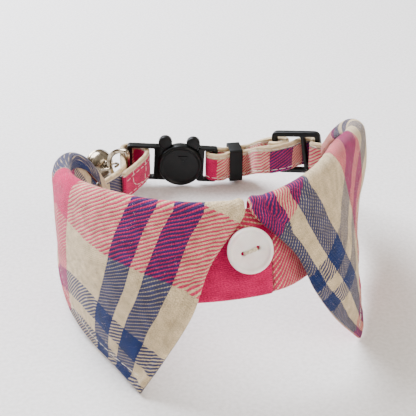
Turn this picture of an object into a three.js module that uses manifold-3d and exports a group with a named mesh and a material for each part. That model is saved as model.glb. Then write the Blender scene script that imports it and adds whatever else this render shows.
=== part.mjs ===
// Pet shirt collar: a cloth neck band with two pointed collar leaves and a button, closed at the
// back by a narrow strap with a breakaway buckle, a keeper, a slider, and a bell on a D ring.
// Millimetres, +Z up. The button faces -Y and the buckle is at +Y. The surface that it rests on is Z 0.

import * as THREE from 'three';
import { mergeVertices } from 'three/addons/utils/BufferGeometryUtils.js';
import Module from 'manifold-3d';

const wasm = await Module();
wasm.setup();

// ---------------------------------------------------------------- driving dimensions

const GAP = 0.3;

const CLOTH = 1.5;
const STRAP_WIDTH = 10;
const STRAP_THICK = 1.4;

// The button leans back by tilt and its two holes are turned by turn. spacing is from its centre to a hole.
const BUTTON = {
  radius: 5.75, thick: 2.2, rim: 0.9, dish: 0.5, edge: 0.5, hole: 0.58, spacing: 1.97,
  tilt: 24, turn: 15, place: [-0.7, -50.7, 36.7],
};
const THREAD_RADIUS = 0.42;

// left, bodyLeft, bodyRight and right are the X of the ends and of the solid middle. Each strap bar
// is bar wide, and the middle reaches overlap into the slotted ends. The tongue of the right half
// sits in the left half's middle, from tongueEnd, behind the animal's head.
const BUCKLE = {
  left: -18.2, bodyLeft: -9, bodyRight: 8, right: 12.5, overlap: 2.4,
  height: 12.6, slotHeight: 10.8, bar: 1.7, armThick: 2.8,
  tongueEnd: -3.4, tongueHigh: 9.2, tongueShift: 1.2, neckWide: 2.6, neckThick: 1.2,
  turn: -11.5, lean: 3.2, place: [1.8, 51.6, 8.6],
};
// forward is how far the head stands in front of the straps' ends.
const HEAD = {
  radius: 7.5, thick: 3.6, rim: 0.9, dish: 0.5, edge: 0.5, forward: 1.2,
  earRadius: 2.3, earThick: 2.2, earOut: 9.1, earAngle: 59, earShift: -0.7,
};

const KEEPER = { wide: 4.4, tall: 11.8, deep: 7.2, wall: 0.6, turn: -2.5, place: [20.3, 49.8, 7.8] };
const SLIDER = {
  long: 16.4, tall: 14.6, thick: 2.0, bar: 1.7, centreBar: 1.3, centreShift: 2.35, corner: 2.2,
  turn: -34, lean: -9, place: [37.2, 32.2, 18.4],
};

const D_RING = { wire: 0.8, straight: 13.6, reach: 8.5, turn: 130, place: [-16.7, 47.9, 9.6] };
const JUMP_RING = { radius: 2.9, wire: 0.4 };
const BELL = {
  radius: 5, wall: 0.45, slot: 0.9, slotHole: 0.9, slotReach: 0.72,
  eye: 1.5, eyeWire: 0.45, eyeSink: 0.35, place: [-24.6, 63.8, 5.0],
};

// ---------------------------------------------------------------- cloth sections

// One row for each section of a side, from the front centre to the strap. crest is the fold along
// the top, foot the lower edge of the band, and hem the lower edge of the leaf; the first hem is its
// tip. out is how far the leaf swells out of the straight line between crest and hem at its quarter,
// middle and three-quarter, and side how far it bends back along the neck at its two quarters.
const table = (rows) => rows.map(([crest, foot, hem, out, side]) => ({ crest, foot, hem, out, side }));

const LEFT_SIDE = table([
  // crest              foot                  hem                   out              side
  [[-0.7, -43.8, 46.0], [-0.7, -50.5, 22.0], [-29.6, -54.9, 0.8], [2.4, 4.4, 3.6], [2.0, 0.2]],
  [[-12.9, -42.0, 45.8], [-14.5, -48.4, 21.8], [-31.8, -48.6, 0.8], [4.4, 6.0, 4.6], [0.6, 0]],
  [[-23.9, -36.5, 45.3], [-26.2, -41.6, 20.6], [-34.6, -40.6, 0.9], [4.0, 5.4, 4.0], [0, 0]],
  [[-32.4, -27.6, 43.9], [-34.4, -31.2, 18.6], [-38.8, -29.6, 1.0], [2.7, 3.6, 2.7], [0, 0]],
  [[-38.9, -12.6, 40.0], [-40.0, -14.6, 15.0], [-42.6, -15.0, 2.2], [1.2, 1.6, 1.2], [0, 0]],
  [[-40.9, 2.5, 36.0], [-41.4, 2.0, 11.4], [-43.6, 2.0, 4.6], [0.3, 0.4, 0.3], [0, 0]],
  [[-39.8, 13.8, 33.4], [-40.0, 13.6, 8.4], [-42.2, 14.4, 5.4], [0, 0.1, 0], [0, 0]],
  [[-37.1, 21.0, 31.0], [-37.2, 20.9, 6.6], [-39.4, 22.2, 5.6], [0, 0, 0], [0, 0]],
  [[-33.4, 25.9, 27.0], [-33.6, 26.0, 5.4], [-35.4, 27.6, 5.2], [0, 0, 0], [0, 0]],
  [[-30.2, 29.4, 21.2], [-30.2, 29.4, 4.6], [-32.0, 31.1, 4.8], [0, 0, 0], [0, 0]],
  [[-27.4, 32.8, 14.8], [-27.4, 32.8, 4.0], [-29.1, 34.4, 4.6], [0, 0, 0], [0, 0]],
]);

const RIGHT_SIDE = table([
  // crest             foot                 hem                  out              side
  [[0.4, -43.8, 46.2], [0.4, -50.5, 22.0], [32.0, -45.2, 0.8], [4.0, 5.4, 4.0], [2.6, -1.0]],
  [[7.4, -43.6, 47.6], [8.0, -49.6, 23.2], [33.4, -41.6, 1.2], [4.8, 6.4, 4.4], [1.8, -0.8]],
  [[14.6, -40.6, 48.6], [16.0, -46.0, 24.2], [34.6, -37.4, 1.8], [4.2, 5.4, 3.4], [0.9, -0.4]],
  [[22.4, -33.4, 48.6], [24.2, -37.4, 24.0], [36.8, -30.2, 2.8], [2.4, 2.4, 1.4], [0, 0]],
  [[31.1, -21.2, 48.0], [32.6, -23.4, 22.0], [40.2, -18.2, 4.2], [1.8, 0.9, 0.2], [0, 0]],
  [[38.8, -10.4, 46.0], [39.0, -10.8, 20.2], [43.6, -7.4, 5.8], [1.5, 0.4, 0], [0, 0]],
  [[43.8, 0.6, 42.8], [42.4, 0.6, 18.4], [45.6, 3.0, 7.6], [0.6, -0.6, -0.4], [0, 0]],
  [[45.2, 10.4, 38.2], [44.2, 10.4, 16.4], [46.6, 12.0, 9.8], [0.4, 0, 0], [0, 0]],
  [[44.8, 17.6, 32.4], [44.6, 17.6, 14.6], [46.8, 19.0, 11.6], [0, 0, 0], [0, 0]],
  [[44.2, 24.0, 24.6], [44.2, 24.0, 13.6], [46.4, 24.6, 13.2], [0, 0, 0], [0, 0]],
]);

// The strap's centre line in plan, with the height of its middle. buckle, slider and keeper rows are
// in that fitting's own frame, whose x runs along it and whose y points away from the neck.

const LEFT_STRAP = [
  { x: -27.2, y: 33.7, z: 9.2 },
  { x: -24.0, y: 36.8, z: 9.2 },
  { x: -20.8, y: 40.2, z: 9.2 },
  { x: -18.6, y: 43.6, z: 9.3 },
  { on: 'buckle', x: -19.4, y: -5.6, z: 0 },
  { on: 'buckle', x: -19.5, y: -1.8, z: 0 },
  { on: 'buckle', x: -19.5, y: 1.5, z: 0 },
  { on: 'buckle', x: -17.3, y: 3.1, z: 0 },
  { on: 'buckle', x: -13.2, y: 2.7, z: 0 },
  { on: 'buckle', x: -11.2, y: 0.2, z: 0 },
  { on: 'buckle', x: -11.6, y: -4.0, z: 0 },
  { x: -14.9, y: 43.4, z: 9.3 },
  { x: -19.5, y: 38.2, z: 9.2 },
];

const RIGHT_STRAP = [
  { x: 44.0, y: 24.7, z: 19.0 },
  { on: 'slider', x: 6.9, y: -2.3, z: -0.5 },
  { on: 'slider', x: 5.0, y: -1.5, z: -0.5 },
  { on: 'slider', x: 4.8, y: 0.4, z: -0.5 },
  { on: 'slider', x: 4.4, y: 2.1, z: -0.5 },
  { on: 'slider', x: 2.5, y: 2.5, z: -0.5 },
  { on: 'slider', x: 0.3, y: 1.5, z: -0.5 },
  { on: 'slider', x: -2.6, y: -2.0, z: -0.6 },
  { on: 'slider', x: -7.2, y: -4.1, z: -0.9 },
  { on: 'slider', x: -12.5, y: -3.2, z: -1.8 },
  { on: 'keeper', x: 4.4, y: -2.0, z: 0.4 },
  { on: 'keeper', x: 0, y: -1.9, z: 0 },
  { on: 'keeper', x: -2.8, y: -2.2, z: 0 },
  { on: 'buckle', x: 14.4, y: -2.1, z: 0 },
  { on: 'buckle', x: 11.8, y: -2.5, z: 0 },
  { on: 'buckle', x: 9.6, y: -1.7, z: 0 },
  { on: 'buckle', x: 9.35, y: 0.6, z: 0 },
  { on: 'buckle', x: 10.6, y: 2.6, z: 0 },
  { on: 'buckle', x: 13.4, y: 2.7, z: 0 },
  { on: 'keeper', x: -3.0, y: 1.3, z: 0 },
  { on: 'keeper', x: 0, y: 1.7, z: 0 },
  { on: 'keeper', x: 4.6, y: 1.6, z: 0.4 },
  { on: 'slider', x: -13.0, y: 2.2, z: -1.4 },
  { on: 'slider', x: -7.4, y: 2.2, z: -0.5 },
  { on: 'slider', x: -4.4, y: 1.2, z: -0.5 },
  { on: 'slider', x: -4.4, y: -0.9, z: -0.5 },
  { on: 'slider', x: -6.8, y: -2.3, z: -0.5 },
  { on: 'slider', x: -9.4, y: -1.9, z: -0.5 },
];

// ---------------------------------------------------------------- helpers

const vec = (p) => new THREE.Vector3(...p);
const radians = THREE.MathUtils.degToRad;

function material(color, roughness, metalness = 0) {
  return new THREE.MeshStandardMaterial({ color, roughness, metalness });
}

function addPiece(parent, name, geometry, look) {
  const mesh = new THREE.Mesh(geometry, look);
  mesh.name = name;
  parent.add(mesh);
  return mesh;
}

function geometryOf(vertices, triangles) {
  const geometry = new THREE.BufferGeometry();
  const numbers = vertices.flatMap((v) => v.toArray());
  geometry.setAttribute('position', new THREE.Float32BufferAttribute(numbers, 3));
  geometry.setIndex(triangles);
  return geometry;
}

function toSolid(geometry) {
  const bare = geometry.clone();
  bare.deleteAttribute('normal');
  bare.deleteAttribute('uv');
  const merged = mergeVertices(bare, 1e-4);
  return new wasm.Manifold(new wasm.Mesh({
    numProp: 3,
    vertProperties: new Float32Array(merged.attributes.position.array),
    triVerts: new Uint32Array(merged.index.array),
  }));
}

function fromSolid(solid) {
  const mesh = solid.getMesh();
  const geometry = new THREE.BufferGeometry();
  geometry.setAttribute('position', new THREE.BufferAttribute(mesh.vertProperties, 3));
  geometry.setIndex(new THREE.BufferAttribute(mesh.triVerts, 1));
  return geometry;
}

// Closes a grid of middle-surface points into a wall: grid[row][column], thick / 2 to each side.
function wallFromGrid(grid, thick) {
  const rows = grid.length;
  const columns = grid[0].length;
  const { clamp } = THREE.MathUtils;
  const at = (r, c) => grid[clamp(r, 0, rows - 1)][clamp(c, 0, columns - 1)];
  const faces = [[], []];
  for (let r = 0; r < rows; r += 1) {
    for (let c = 0; c < columns; c += 1) {
      const along = at(r + 1, c).clone().sub(at(r - 1, c));
      const across = at(r, c + 1).clone().sub(at(r, c - 1));
      const normal = along.cross(across).normalize().multiplyScalar(thick / 2);
      faces[0].push(at(r, c).clone().add(normal));
      faces[1].push(at(r, c).clone().sub(normal));
    }
  }
  const vertices = [...faces[0], ...faces[1]];
  const back = rows * columns;
  const id = (r, c) => r * columns + c;
  const triangles = [];
  const quad = (a, b, c, d) => triangles.push(a, b, c, a, c, d);
  for (let r = 0; r < rows - 1; r += 1) {
    for (let c = 0; c < columns - 1; c += 1) {
      const corners = [id(r, c), id(r + 1, c), id(r + 1, c + 1), id(r, c + 1)];
      quad(...corners);
      quad(...corners.map((corner) => corner + back).reverse());
    }
  }
  const rim = [];
  for (let r = 0; r < rows - 1; r += 1) rim.push(id(r, 0));
  for (let c = 0; c < columns - 1; c += 1) rim.push(id(rows - 1, c));
  for (let r = rows - 1; r > 0; r -= 1) rim.push(id(r, columns - 1));
  for (let c = columns - 1; c > 0; c -= 1) rim.push(id(0, c));
  rim.forEach((corner, i) => {
    const next = rim[(i + 1) % rim.length];
    quad(next, corner, corner + back, next + back);
  });
  return geometryOf(vertices, triangles);
}

// A flat band on edge: its centre line is sampled, and its width stands along Z.
function bandAlong(points, width, thick, steps) {
  const samples = new THREE.CatmullRomCurve3(points, false, 'centripetal').getSpacedPoints(steps);
  const across = (p) => [1, 0, -1].map((side) => new THREE.Vector3(p.x, p.y, p.z + side * width / 2));
  return wallFromGrid(samples.map(across), thick);
}

// A round wire bent into a closed flat loop in the XZ plane.
function closedWire(outline, radius, sides) {
  const vertices = [];
  const triangles = [];
  const count = outline.length;
  outline.forEach((p, i) => {
    const ahead = outline[(i + 1) % count].clone().sub(outline[(i + count - 1) % count]).normalize();
    for (let s = 0; s < sides; s += 1) {
      const angle = s * 2 * Math.PI / sides;
      const inPlane = new THREE.Vector3(ahead.z, 0, -ahead.x).multiplyScalar(radius * Math.cos(angle));
      vertices.push(p.clone().add(inPlane).add(new THREE.Vector3(0, radius * Math.sin(angle), 0)));
    }
  });
  for (let i = 0; i < count; i += 1) {
    for (let s = 0; s < sides; s += 1) {
      const a = i * sides + s;
      const b = i * sides + (s + 1) % sides;
      const c = ((i + 1) % count) * sides + (s + 1) % sides;
      const d = ((i + 1) % count) * sides + s;
      triangles.push(a, c, d, a, b, c);
    }
  }
  return geometryOf(vertices, triangles);
}

function rectangle(x0, z0, x1, z1) {
  return new THREE.Shape([[x0, z0], [x1, z0], [x1, z1], [x0, z1]].map((p) => new THREE.Vector2(...p)));
}

function roundedRectangle(wide, tall, corner, steps = 5) {
  const points = [];
  [[1, 1], [-1, 1], [-1, -1], [1, -1]].forEach(([sideX, sideZ], quarter) => {
    for (let i = 0; i <= steps; i += 1) {
      const angle = (quarter + i / steps) * Math.PI / 2;
      const x = sideX * (wide / 2 - corner) + corner * Math.cos(angle);
      points.push(new THREE.Vector2(x, sideZ * (tall / 2 - corner) + corner * Math.sin(angle)));
    }
  });
  return new THREE.Shape(points);
}

// Extrudes an outline drawn in X and Z along Y, centred on y.
function plate(shape, thick, y = 0, curveSegments = 6) {
  const geometry = new THREE.ExtrudeGeometry(shape, { depth: thick, bevelEnabled: false, curveSegments });
  geometry.rotateX(Math.PI / 2);
  geometry.translate(0, y + thick / 2, 0);
  return geometry;
}

function fittingGroup({ place, turn, lean = 0 }) {
  const group = new THREE.Group();
  group.position.set(...place);
  group.rotation.set(0, radians(lean), radians(turn), 'ZYX');
  group.updateMatrixWorld(true);
  return group;
}

// ---------------------------------------------------------------- colours

const pinkCloth = () => material('#cf4f7c', 0.9);
const creamCloth = () => material('#d8cbb0', 0.9);
const blackPlastic = () => material('#141516', 0.45);
const nickel = () => material('#c9c4b8', 0.25, 0.9);

// ---------------------------------------------------------------- cloth pieces

const SECTIONS_PER_ROW = 3;

function columnCurve(side, column) {
  return new THREE.CatmullRomCurve3(side.map((row) => vec(row[column])), false, 'centripetal');
}

// The values of a column at t, its rows joined smoothly.
function columnAt(side, column) {
  const curveOf = (k) => new THREE.SplineCurve(side.map((row, i) => new THREE.Vector2(i, row[column][k])));
  const curves = side[0][column].map((_, k) => curveOf(k));
  return (t) => curves.map((curve) => curve.getPoint(t).y);
}

// Level direction away from the neck, square to the crest.
function outward(crest, t, turn) {
  const ahead = crest.getTangent(THREE.MathUtils.clamp(t, 0.001, 0.999));
  return new THREE.Vector3(ahead.y * turn, -ahead.x * turn, 0).normalize();
}

// The leaf's roll over the band: lip is how far it reaches to the neck side of the crest, and
// shoulder how far out, and shoulderDrop how far down, it turns into the hanging part.
const ROLL = { lip: 1.1, lipDrop: 0.2, crown: 0.2, crownRise: 0.15, shoulder: 2.05, shoulderDrop: 1.5 };
const LEAF_SHARES = [0, 0.1, 0.2, 0.27, 0.36, 0.5, 0.66, 0.83, 1];

// A leaf folds over the top of the band at the crest and hangs to its hem.
function leafWall(side, turn) {
  const crest = columnCurve(side, 'crest');
  const hem = columnCurve(side, 'hem');
  const outAt = columnAt(side, 'out');
  const sideAt = columnAt(side, 'side');
  const steps = (side.length - 1) * SECTIONS_PER_ROW;
  const grid = [];
  for (let i = 0; i <= steps; i += 1) {
    const t = i / steps;
    const top = crest.getPoint(t);
    const out = outward(crest, t, turn);
    const end = hem.getPoint(t);
    const back = new THREE.Vector3(-out.y * turn, out.x * turn, 0);
    const away = (level, drop) => top.clone().addScaledVector(out, level).setZ(top.z - drop);
    const shoulder = away(ROLL.shoulder, ROLL.shoulderDrop);
    const swell = (share, level, aside) => shoulder.clone().lerp(end, share)
      .addScaledVector(out, level).addScaledVector(back, aside);
    const [highOut, middleOut, lowOut] = outAt(t);
    const [highSide, lowSide] = sideAt(t);
    const section = new THREE.CatmullRomCurve3([
      away(-ROLL.lip, ROLL.lipDrop), away(ROLL.crown, -ROLL.crownRise), shoulder,
      swell(0.25, highOut, highSide), swell(0.5, middleOut, 0), swell(0.75, lowOut, lowSide), end,
    ], false, 'centripetal');
    grid.push(LEAF_SHARES.map((share) => section.getPoint(share)));
  }
  return wallFromGrid(turn < 0 ? grid : grid.reverse(), CLOTH);
}

const BAND_DROP = CLOTH / 2 + GAP + 1.2;
const BAND_SHARES = [0, 0.33, 0.66, 1];

// The neck band stands inside the leaves, from one strap end round the front to the other.
function bandWall() {
  const rows = [...LEFT_SIDE.slice(1).reverse(), ...RIGHT_SIDE.slice(1)];
  const crest = columnCurve(rows, 'crest');
  const foot = columnCurve(rows, 'foot');
  const steps = (rows.length - 1) * SECTIONS_PER_ROW;
  const grid = [];
  for (let i = 0; i <= steps; i += 1) {
    const t = i / steps;
    const level = Math.sqrt(1 - crest.getTangent(t).z ** 2);
    const top = crest.getPoint(t).add(new THREE.Vector3(0, 0, -BAND_DROP / level));
    const low = foot.getPoint(t);
    grid.push(BAND_SHARES.map((share) => top.clone().lerp(low, share)));
  }
  return wallFromGrid(grid, CLOTH);
}

// ---------------------------------------------------------------- button

// The half outline of a round plate with a raised rim round its front, from the back's centre.
function rimmedDisc({ radius, thick, rim, dish, edge }, segments) {
  const front = thick / 2;
  const profile = [
    [0, -front], [radius - edge, -front], [radius, -front + edge], [radius, front - edge],
    [radius - edge, front], [radius - rim, front], [radius - rim - dish, front - dish], [0, front - dish],
  ];
  return new THREE.LatheGeometry(profile.map((p) => new THREE.Vector2(...p)), segments);
}

function buttonSolid() {
  const { thick, hole, spacing } = BUTTON;
  const disc = rimmedDisc(BUTTON, 40);
  let solid = toSolid(disc);
  for (const side of [-1, 1]) {
    const drill = new THREE.CylinderGeometry(hole, hole, thick * 2, 12);
    drill.translate(side * spacing, 0, 0);
    solid = solid.subtract(toSolid(drill));
  }
  return fromSolid(solid);
}

// One stitch of thick thread, out of one hole and into the other, its ends behind the button.
function buttonThread() {
  const { thick, spacing, dish } = BUTTON;
  const behind = -thick / 2 - 0.4;
  const front = thick / 2 - dish + THREAD_RADIUS + 0.25;
  const path = new THREE.CatmullRomCurve3([
    [-spacing, behind, 0], [-spacing, 0.2, 0], [-spacing + 0.2, front - 0.1, 0], [0, front + 0.1, 0],
    [spacing - 0.2, front - 0.1, 0], [spacing, 0.2, 0], [spacing, behind, 0],
  ].map(vec));
  const section = new THREE.Shape();
  section.absarc(0, 0, THREAD_RADIUS, 0, 2 * Math.PI);
  return new THREE.ExtrudeGeometry(section, { steps: 24, extrudePath: path, curveSegments: 4 });
}

// ---------------------------------------------------------------- buckle

// A strap bar with its slot, from the outer end to the middle, which it overlaps.
function slottedEnd(outer, middle) {
  const { height, slotHeight, armThick, bar, overlap } = BUCKLE;
  const inward = Math.sign(middle - outer);
  const end = middle + inward * overlap;
  const span = (a, b, tall) => rectangle(Math.min(a, b), -tall / 2, Math.max(a, b), tall / 2);
  const shape = span(outer, end, height);
  const slot = span(outer + inward * bar, middle, slotHeight);
  shape.holes.push(new THREE.Path(slot.getPoints().reverse()));
  return toSolid(plate(shape, armThick));
}

function earDisc(side, clearance = 0) {
  const { earRadius, earThick, earOut, earAngle, earShift, forward } = HEAD;
  const round = earRadius + clearance;
  const ear = new THREE.CylinderGeometry(round, round, earThick + 2 * clearance, 18);
  const angle = radians(earAngle);
  ear.translate(earShift + side * earOut * Math.cos(angle), -forward / 2, earOut * Math.sin(angle));
  return toSolid(ear);
}

// The half with the animal's head: the head itself, its ears, and the slotted end on the left.
function buckleHead() {
  const { left, bodyLeft, height, armThick, tongueEnd, tongueHigh, tongueShift } = BUCKLE;
  const disc = rimmedDisc(HEAD, 36);
  disc.rotateX(Math.PI);
  disc.translate(0, -HEAD.forward, 0);
  let solid = toSolid(disc).add(slottedEnd(left, bodyLeft));
  for (const side of [-1, 1]) solid = solid.add(earDisc(side));
  const socket = rectangle(tongueEnd, -tongueHigh / 2, HEAD.radius + 1, tongueHigh / 2);
  const block = rectangle(bodyLeft, -height / 2, tongueEnd - GAP, height / 2);
  const opened = solid.subtract(toSolid(plate(socket, armThick + 1, tongueShift - GAP)));
  return fromSolid(opened.add(toSolid(plate(block, armThick))));
}

// The half that snaps in behind the head: a tongue, a neck beside the head, and the slotted end.
function bucklePlug() {
  const { right, bodyRight, height, armThick } = BUCKLE;
  const { tongueEnd, tongueHigh, tongueShift, neckWide, neckThick } = BUCKLE;
  const high = tongueHigh / 2 - GAP;
  const tongue = plate(rectangle(tongueEnd + GAP, -high, bodyRight, high), armThick - 0.2, tongueShift);
  const neckShape = rectangle(bodyRight - neckWide, -height / 2, bodyRight, height / 2);
  const neck = plate(neckShape, neckThick, (armThick - neckThick) / 2);
  const round = HEAD.radius + GAP;
  const room = new THREE.CylinderGeometry(round, round, HEAD.thick + 3 * GAP, 36);
  room.translate(0, -HEAD.forward, 0);
  const solid = slottedEnd(right, bodyRight).add(toSolid(tongue)).add(toSolid(neck));
  return fromSolid(solid.subtract(toSolid(room)).subtract(earDisc(1, GAP)));
}

// ---------------------------------------------------------------- keeper and slider

function keeperLoop() {
  const { wide, tall, deep, wall } = KEEPER;
  const shape = rectangle(-deep / 2, -tall / 2, deep / 2, tall / 2);
  const hole = rectangle(-deep / 2 + wall, -tall / 2 + wall, deep / 2 - wall, tall / 2 - wall);
  shape.holes.push(new THREE.Path(hole.getPoints().reverse()));
  const loop = plate(shape, wide);
  loop.rotateZ(Math.PI / 2);
  return loop;
}

function sliderFrame() {
  const { long, tall, thick, bar, centreBar, centreShift, corner } = SLIDER;
  let frame = toSolid(plate(roundedRectangle(long, tall, corner), thick));
  for (const side of [-1, 1]) {
    const inner = centreShift + side * centreBar / 2;
    const outer = side * (long / 2 - bar);
    const window = new THREE.BoxGeometry(Math.abs(outer - inner), thick * 2, tall - 2 * bar);
    window.translate((inner + outer) / 2, 0, 0);
    frame = frame.subtract(toSolid(window));
  }
  return fromSolid(frame);
}

// ---------------------------------------------------------------- metal

function dRingOutline() {
  const { straight, reach } = D_RING;
  const points = [];
  const arcSteps = 20;
  for (let i = 0; i <= arcSteps; i += 1) {
    const angle = -Math.PI / 2 + i * Math.PI / arcSteps;
    points.push(new THREE.Vector3(reach * Math.cos(angle), 0, straight / 2 * Math.sin(angle)));
  }
  for (const share of [0.6, 0.2, -0.2, -0.6]) {
    points.push(new THREE.Vector3(0, 0, share * straight / 2));
  }
  return points;
}

// A hollow ball with a crossed slot below and a wire eye above, drawn with its eye along +Z.
function bellShell() {
  const { radius, wall, slot, slotHole, slotReach, eye, eyeWire, eyeSink } = BELL;
  const outer = toSolid(new THREE.SphereGeometry(radius, 28, 18));
  const inner = toSolid(new THREE.SphereGeometry(radius - wall, 20, 12));
  let shell = outer.subtract(inner);
  for (const turn of [0, Math.PI / 2]) {
    const cut = new THREE.BoxGeometry(radius * 2 * slotReach, slot, radius);
    cut.rotateZ(turn);
    cut.translate(0, 0, -radius);
    shell = shell.subtract(toSolid(cut));
    for (const side of [-1, 1]) {
      const end = new THREE.CylinderGeometry(slotHole, slotHole, radius, 10);
      end.rotateX(Math.PI / 2);
      end.translate(side * radius * slotReach, 0, -radius);
      end.rotateZ(turn);
      shell = shell.subtract(toSolid(end));
    }
  }
  const loop = new THREE.TorusGeometry(eye, eyeWire, 8, 18);
  loop.rotateX(Math.PI / 2);
  loop.translate(0, 0, radius + eye - eyeSink);
  return fromSolid(shell.add(toSolid(loop)));
}

// ---------------------------------------------------------------- assembly

const collar = new THREE.Group();

addPiece(collar, 'neck_band', bandWall(), pinkCloth());
addPiece(collar, 'left_leaf', leafWall(LEFT_SIDE, -1), creamCloth());
addPiece(collar, 'right_leaf', leafWall(RIGHT_SIDE, 1), creamCloth());

const buttonGroup = new THREE.Group();
buttonGroup.position.set(...BUTTON.place);
buttonGroup.rotation.set(radians(180 - BUTTON.tilt), 0, 0);
const buttonTurn = new THREE.Group();
buttonTurn.rotation.y = radians(BUTTON.turn);
buttonGroup.add(buttonTurn);
addPiece(buttonTurn, 'button', buttonSolid(), material('#ead9dc', 0.35));
addPiece(buttonTurn, 'button_thread', buttonThread(), material('#e6dccb', 0.9));
collar.add(buttonGroup);

const buckleGroup = fittingGroup(BUCKLE);
addPiece(buckleGroup, 'buckle_head', buckleHead(), blackPlastic());
addPiece(buckleGroup, 'buckle_plug', bucklePlug(), blackPlastic());
collar.add(buckleGroup);

const keeperGroup = fittingGroup(KEEPER);
addPiece(keeperGroup, 'keeper', keeperLoop(), blackPlastic());
collar.add(keeperGroup);

const sliderGroup = fittingGroup(SLIDER);
addPiece(sliderGroup, 'slider', sliderFrame(), blackPlastic());
collar.add(sliderGroup);

const frames = { buckle: buckleGroup, slider: sliderGroup, keeper: keeperGroup };

function placed({ on, x, y, z }) {
  const point = new THREE.Vector3(x, y, z);
  return on ? frames[on].localToWorld(point) : point;
}

const strap = (rows, steps) => bandAlong(rows.map(placed), STRAP_WIDTH, STRAP_THICK, steps);
addPiece(collar, 'left_strap', strap(LEFT_STRAP, 56), pinkCloth());
addPiece(collar, 'right_strap', strap(RIGHT_STRAP, 120), pinkCloth());

// The bell lies on the surface, its eye turned to the D ring, and a jump ring links the two.
const ringGroup = fittingGroup(D_RING);
addPiece(ringGroup, 'd_ring', closedWire(dRingOutline(), D_RING.wire, 10), nickel());
collar.add(ringGroup);

const linkReach = D_RING.reach - D_RING.wire - JUMP_RING.wire - 2.5 * GAP;
const ringInside = ringGroup.localToWorld(new THREE.Vector3(linkReach, 0, -1));
const bellCentre = vec(BELL.place);
const eyeAxis = ringInside.clone().sub(bellCentre).normalize();
const eyeCentre = bellCentre.clone().addScaledVector(eyeAxis, BELL.radius + BELL.eye - BELL.eyeSink);
const linkAxis = ringInside.clone().sub(eyeCentre).normalize();
const ringNormal = new THREE.Vector3(0, 1, 0).applyQuaternion(ringGroup.quaternion);
const linkNormal = linkAxis.clone().cross(ringNormal).normalize();

function turnedGroup(centre, xAxis, zAxis) {
  const group = new THREE.Group();
  const yAxis = zAxis.clone().cross(xAxis).normalize();
  const basis = new THREE.Matrix4().makeBasis(yAxis.clone().cross(zAxis), yAxis, zAxis);
  group.quaternion.setFromRotationMatrix(basis);
  group.position.copy(centre);
  collar.add(group);
  return group;
}

const bellGroup = turnedGroup(bellCentre, linkNormal, eyeAxis);
addPiece(bellGroup, 'bell', bellShell(), nickel());
const linkGroup = turnedGroup(eyeCentre.clone().lerp(ringInside, 0.5), linkAxis, linkNormal);
const link = new THREE.TorusGeometry(JUMP_RING.radius, JUMP_RING.wire, 8, 24);
addPiece(linkGroup, 'jump_ring', link, nickel());

// The origin is the centre of the collar's box, at the surface that it rests on.
const box = new THREE.Box3().setFromObject(collar, true);
const middle = box.getCenter(new THREE.Vector3());
collar.position.set(-middle.x, -middle.y, -box.min.z);

export default collar;
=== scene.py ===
import math
from functools import partial

import bmesh
import bpy
import numpy as np
from bpy.props import FloatProperty, FloatVectorProperty, PointerProperty
from mathutils import Matrix, Vector, noise


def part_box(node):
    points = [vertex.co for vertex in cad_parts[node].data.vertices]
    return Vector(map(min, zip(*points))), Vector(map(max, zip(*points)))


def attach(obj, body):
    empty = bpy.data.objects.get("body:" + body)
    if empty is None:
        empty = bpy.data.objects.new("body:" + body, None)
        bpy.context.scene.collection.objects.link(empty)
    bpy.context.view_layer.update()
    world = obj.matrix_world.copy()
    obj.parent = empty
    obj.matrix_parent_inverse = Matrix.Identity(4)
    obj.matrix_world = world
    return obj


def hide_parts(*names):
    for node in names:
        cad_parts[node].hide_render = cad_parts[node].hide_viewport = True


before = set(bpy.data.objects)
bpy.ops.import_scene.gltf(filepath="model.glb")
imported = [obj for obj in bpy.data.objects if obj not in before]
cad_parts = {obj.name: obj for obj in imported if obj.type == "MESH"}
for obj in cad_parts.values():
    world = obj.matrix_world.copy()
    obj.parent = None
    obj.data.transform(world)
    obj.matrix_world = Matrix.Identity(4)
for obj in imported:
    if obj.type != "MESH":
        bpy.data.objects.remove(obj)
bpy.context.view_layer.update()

bl_info = {
    "name": "Pet shirt collar",
    "version": (1, 0, 0),
    "blender": (4, 5, 0),
    "location": "3D View > Sidebar > Collar",
    "description": "Plaid shirt collar for a pet, with its button, strap, buckle, ring and bell",
    "category": "Add Mesh",
}

MM = 0.001

# The tables below are in the part's own millimetres. The keeper's middle there is KEEPER_MIDDLE,
# and where it stands in the frame gives the shift between the two.
KEEPER_MIDDLE = Vector((20.3, 49.8, 7.8))
SHIFT = (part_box("keeper")[0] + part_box("keeper")[1]) / (2 * MM) - KEEPER_MIDDLE

# ------------------------------------------------------------------ cloth sections

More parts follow.
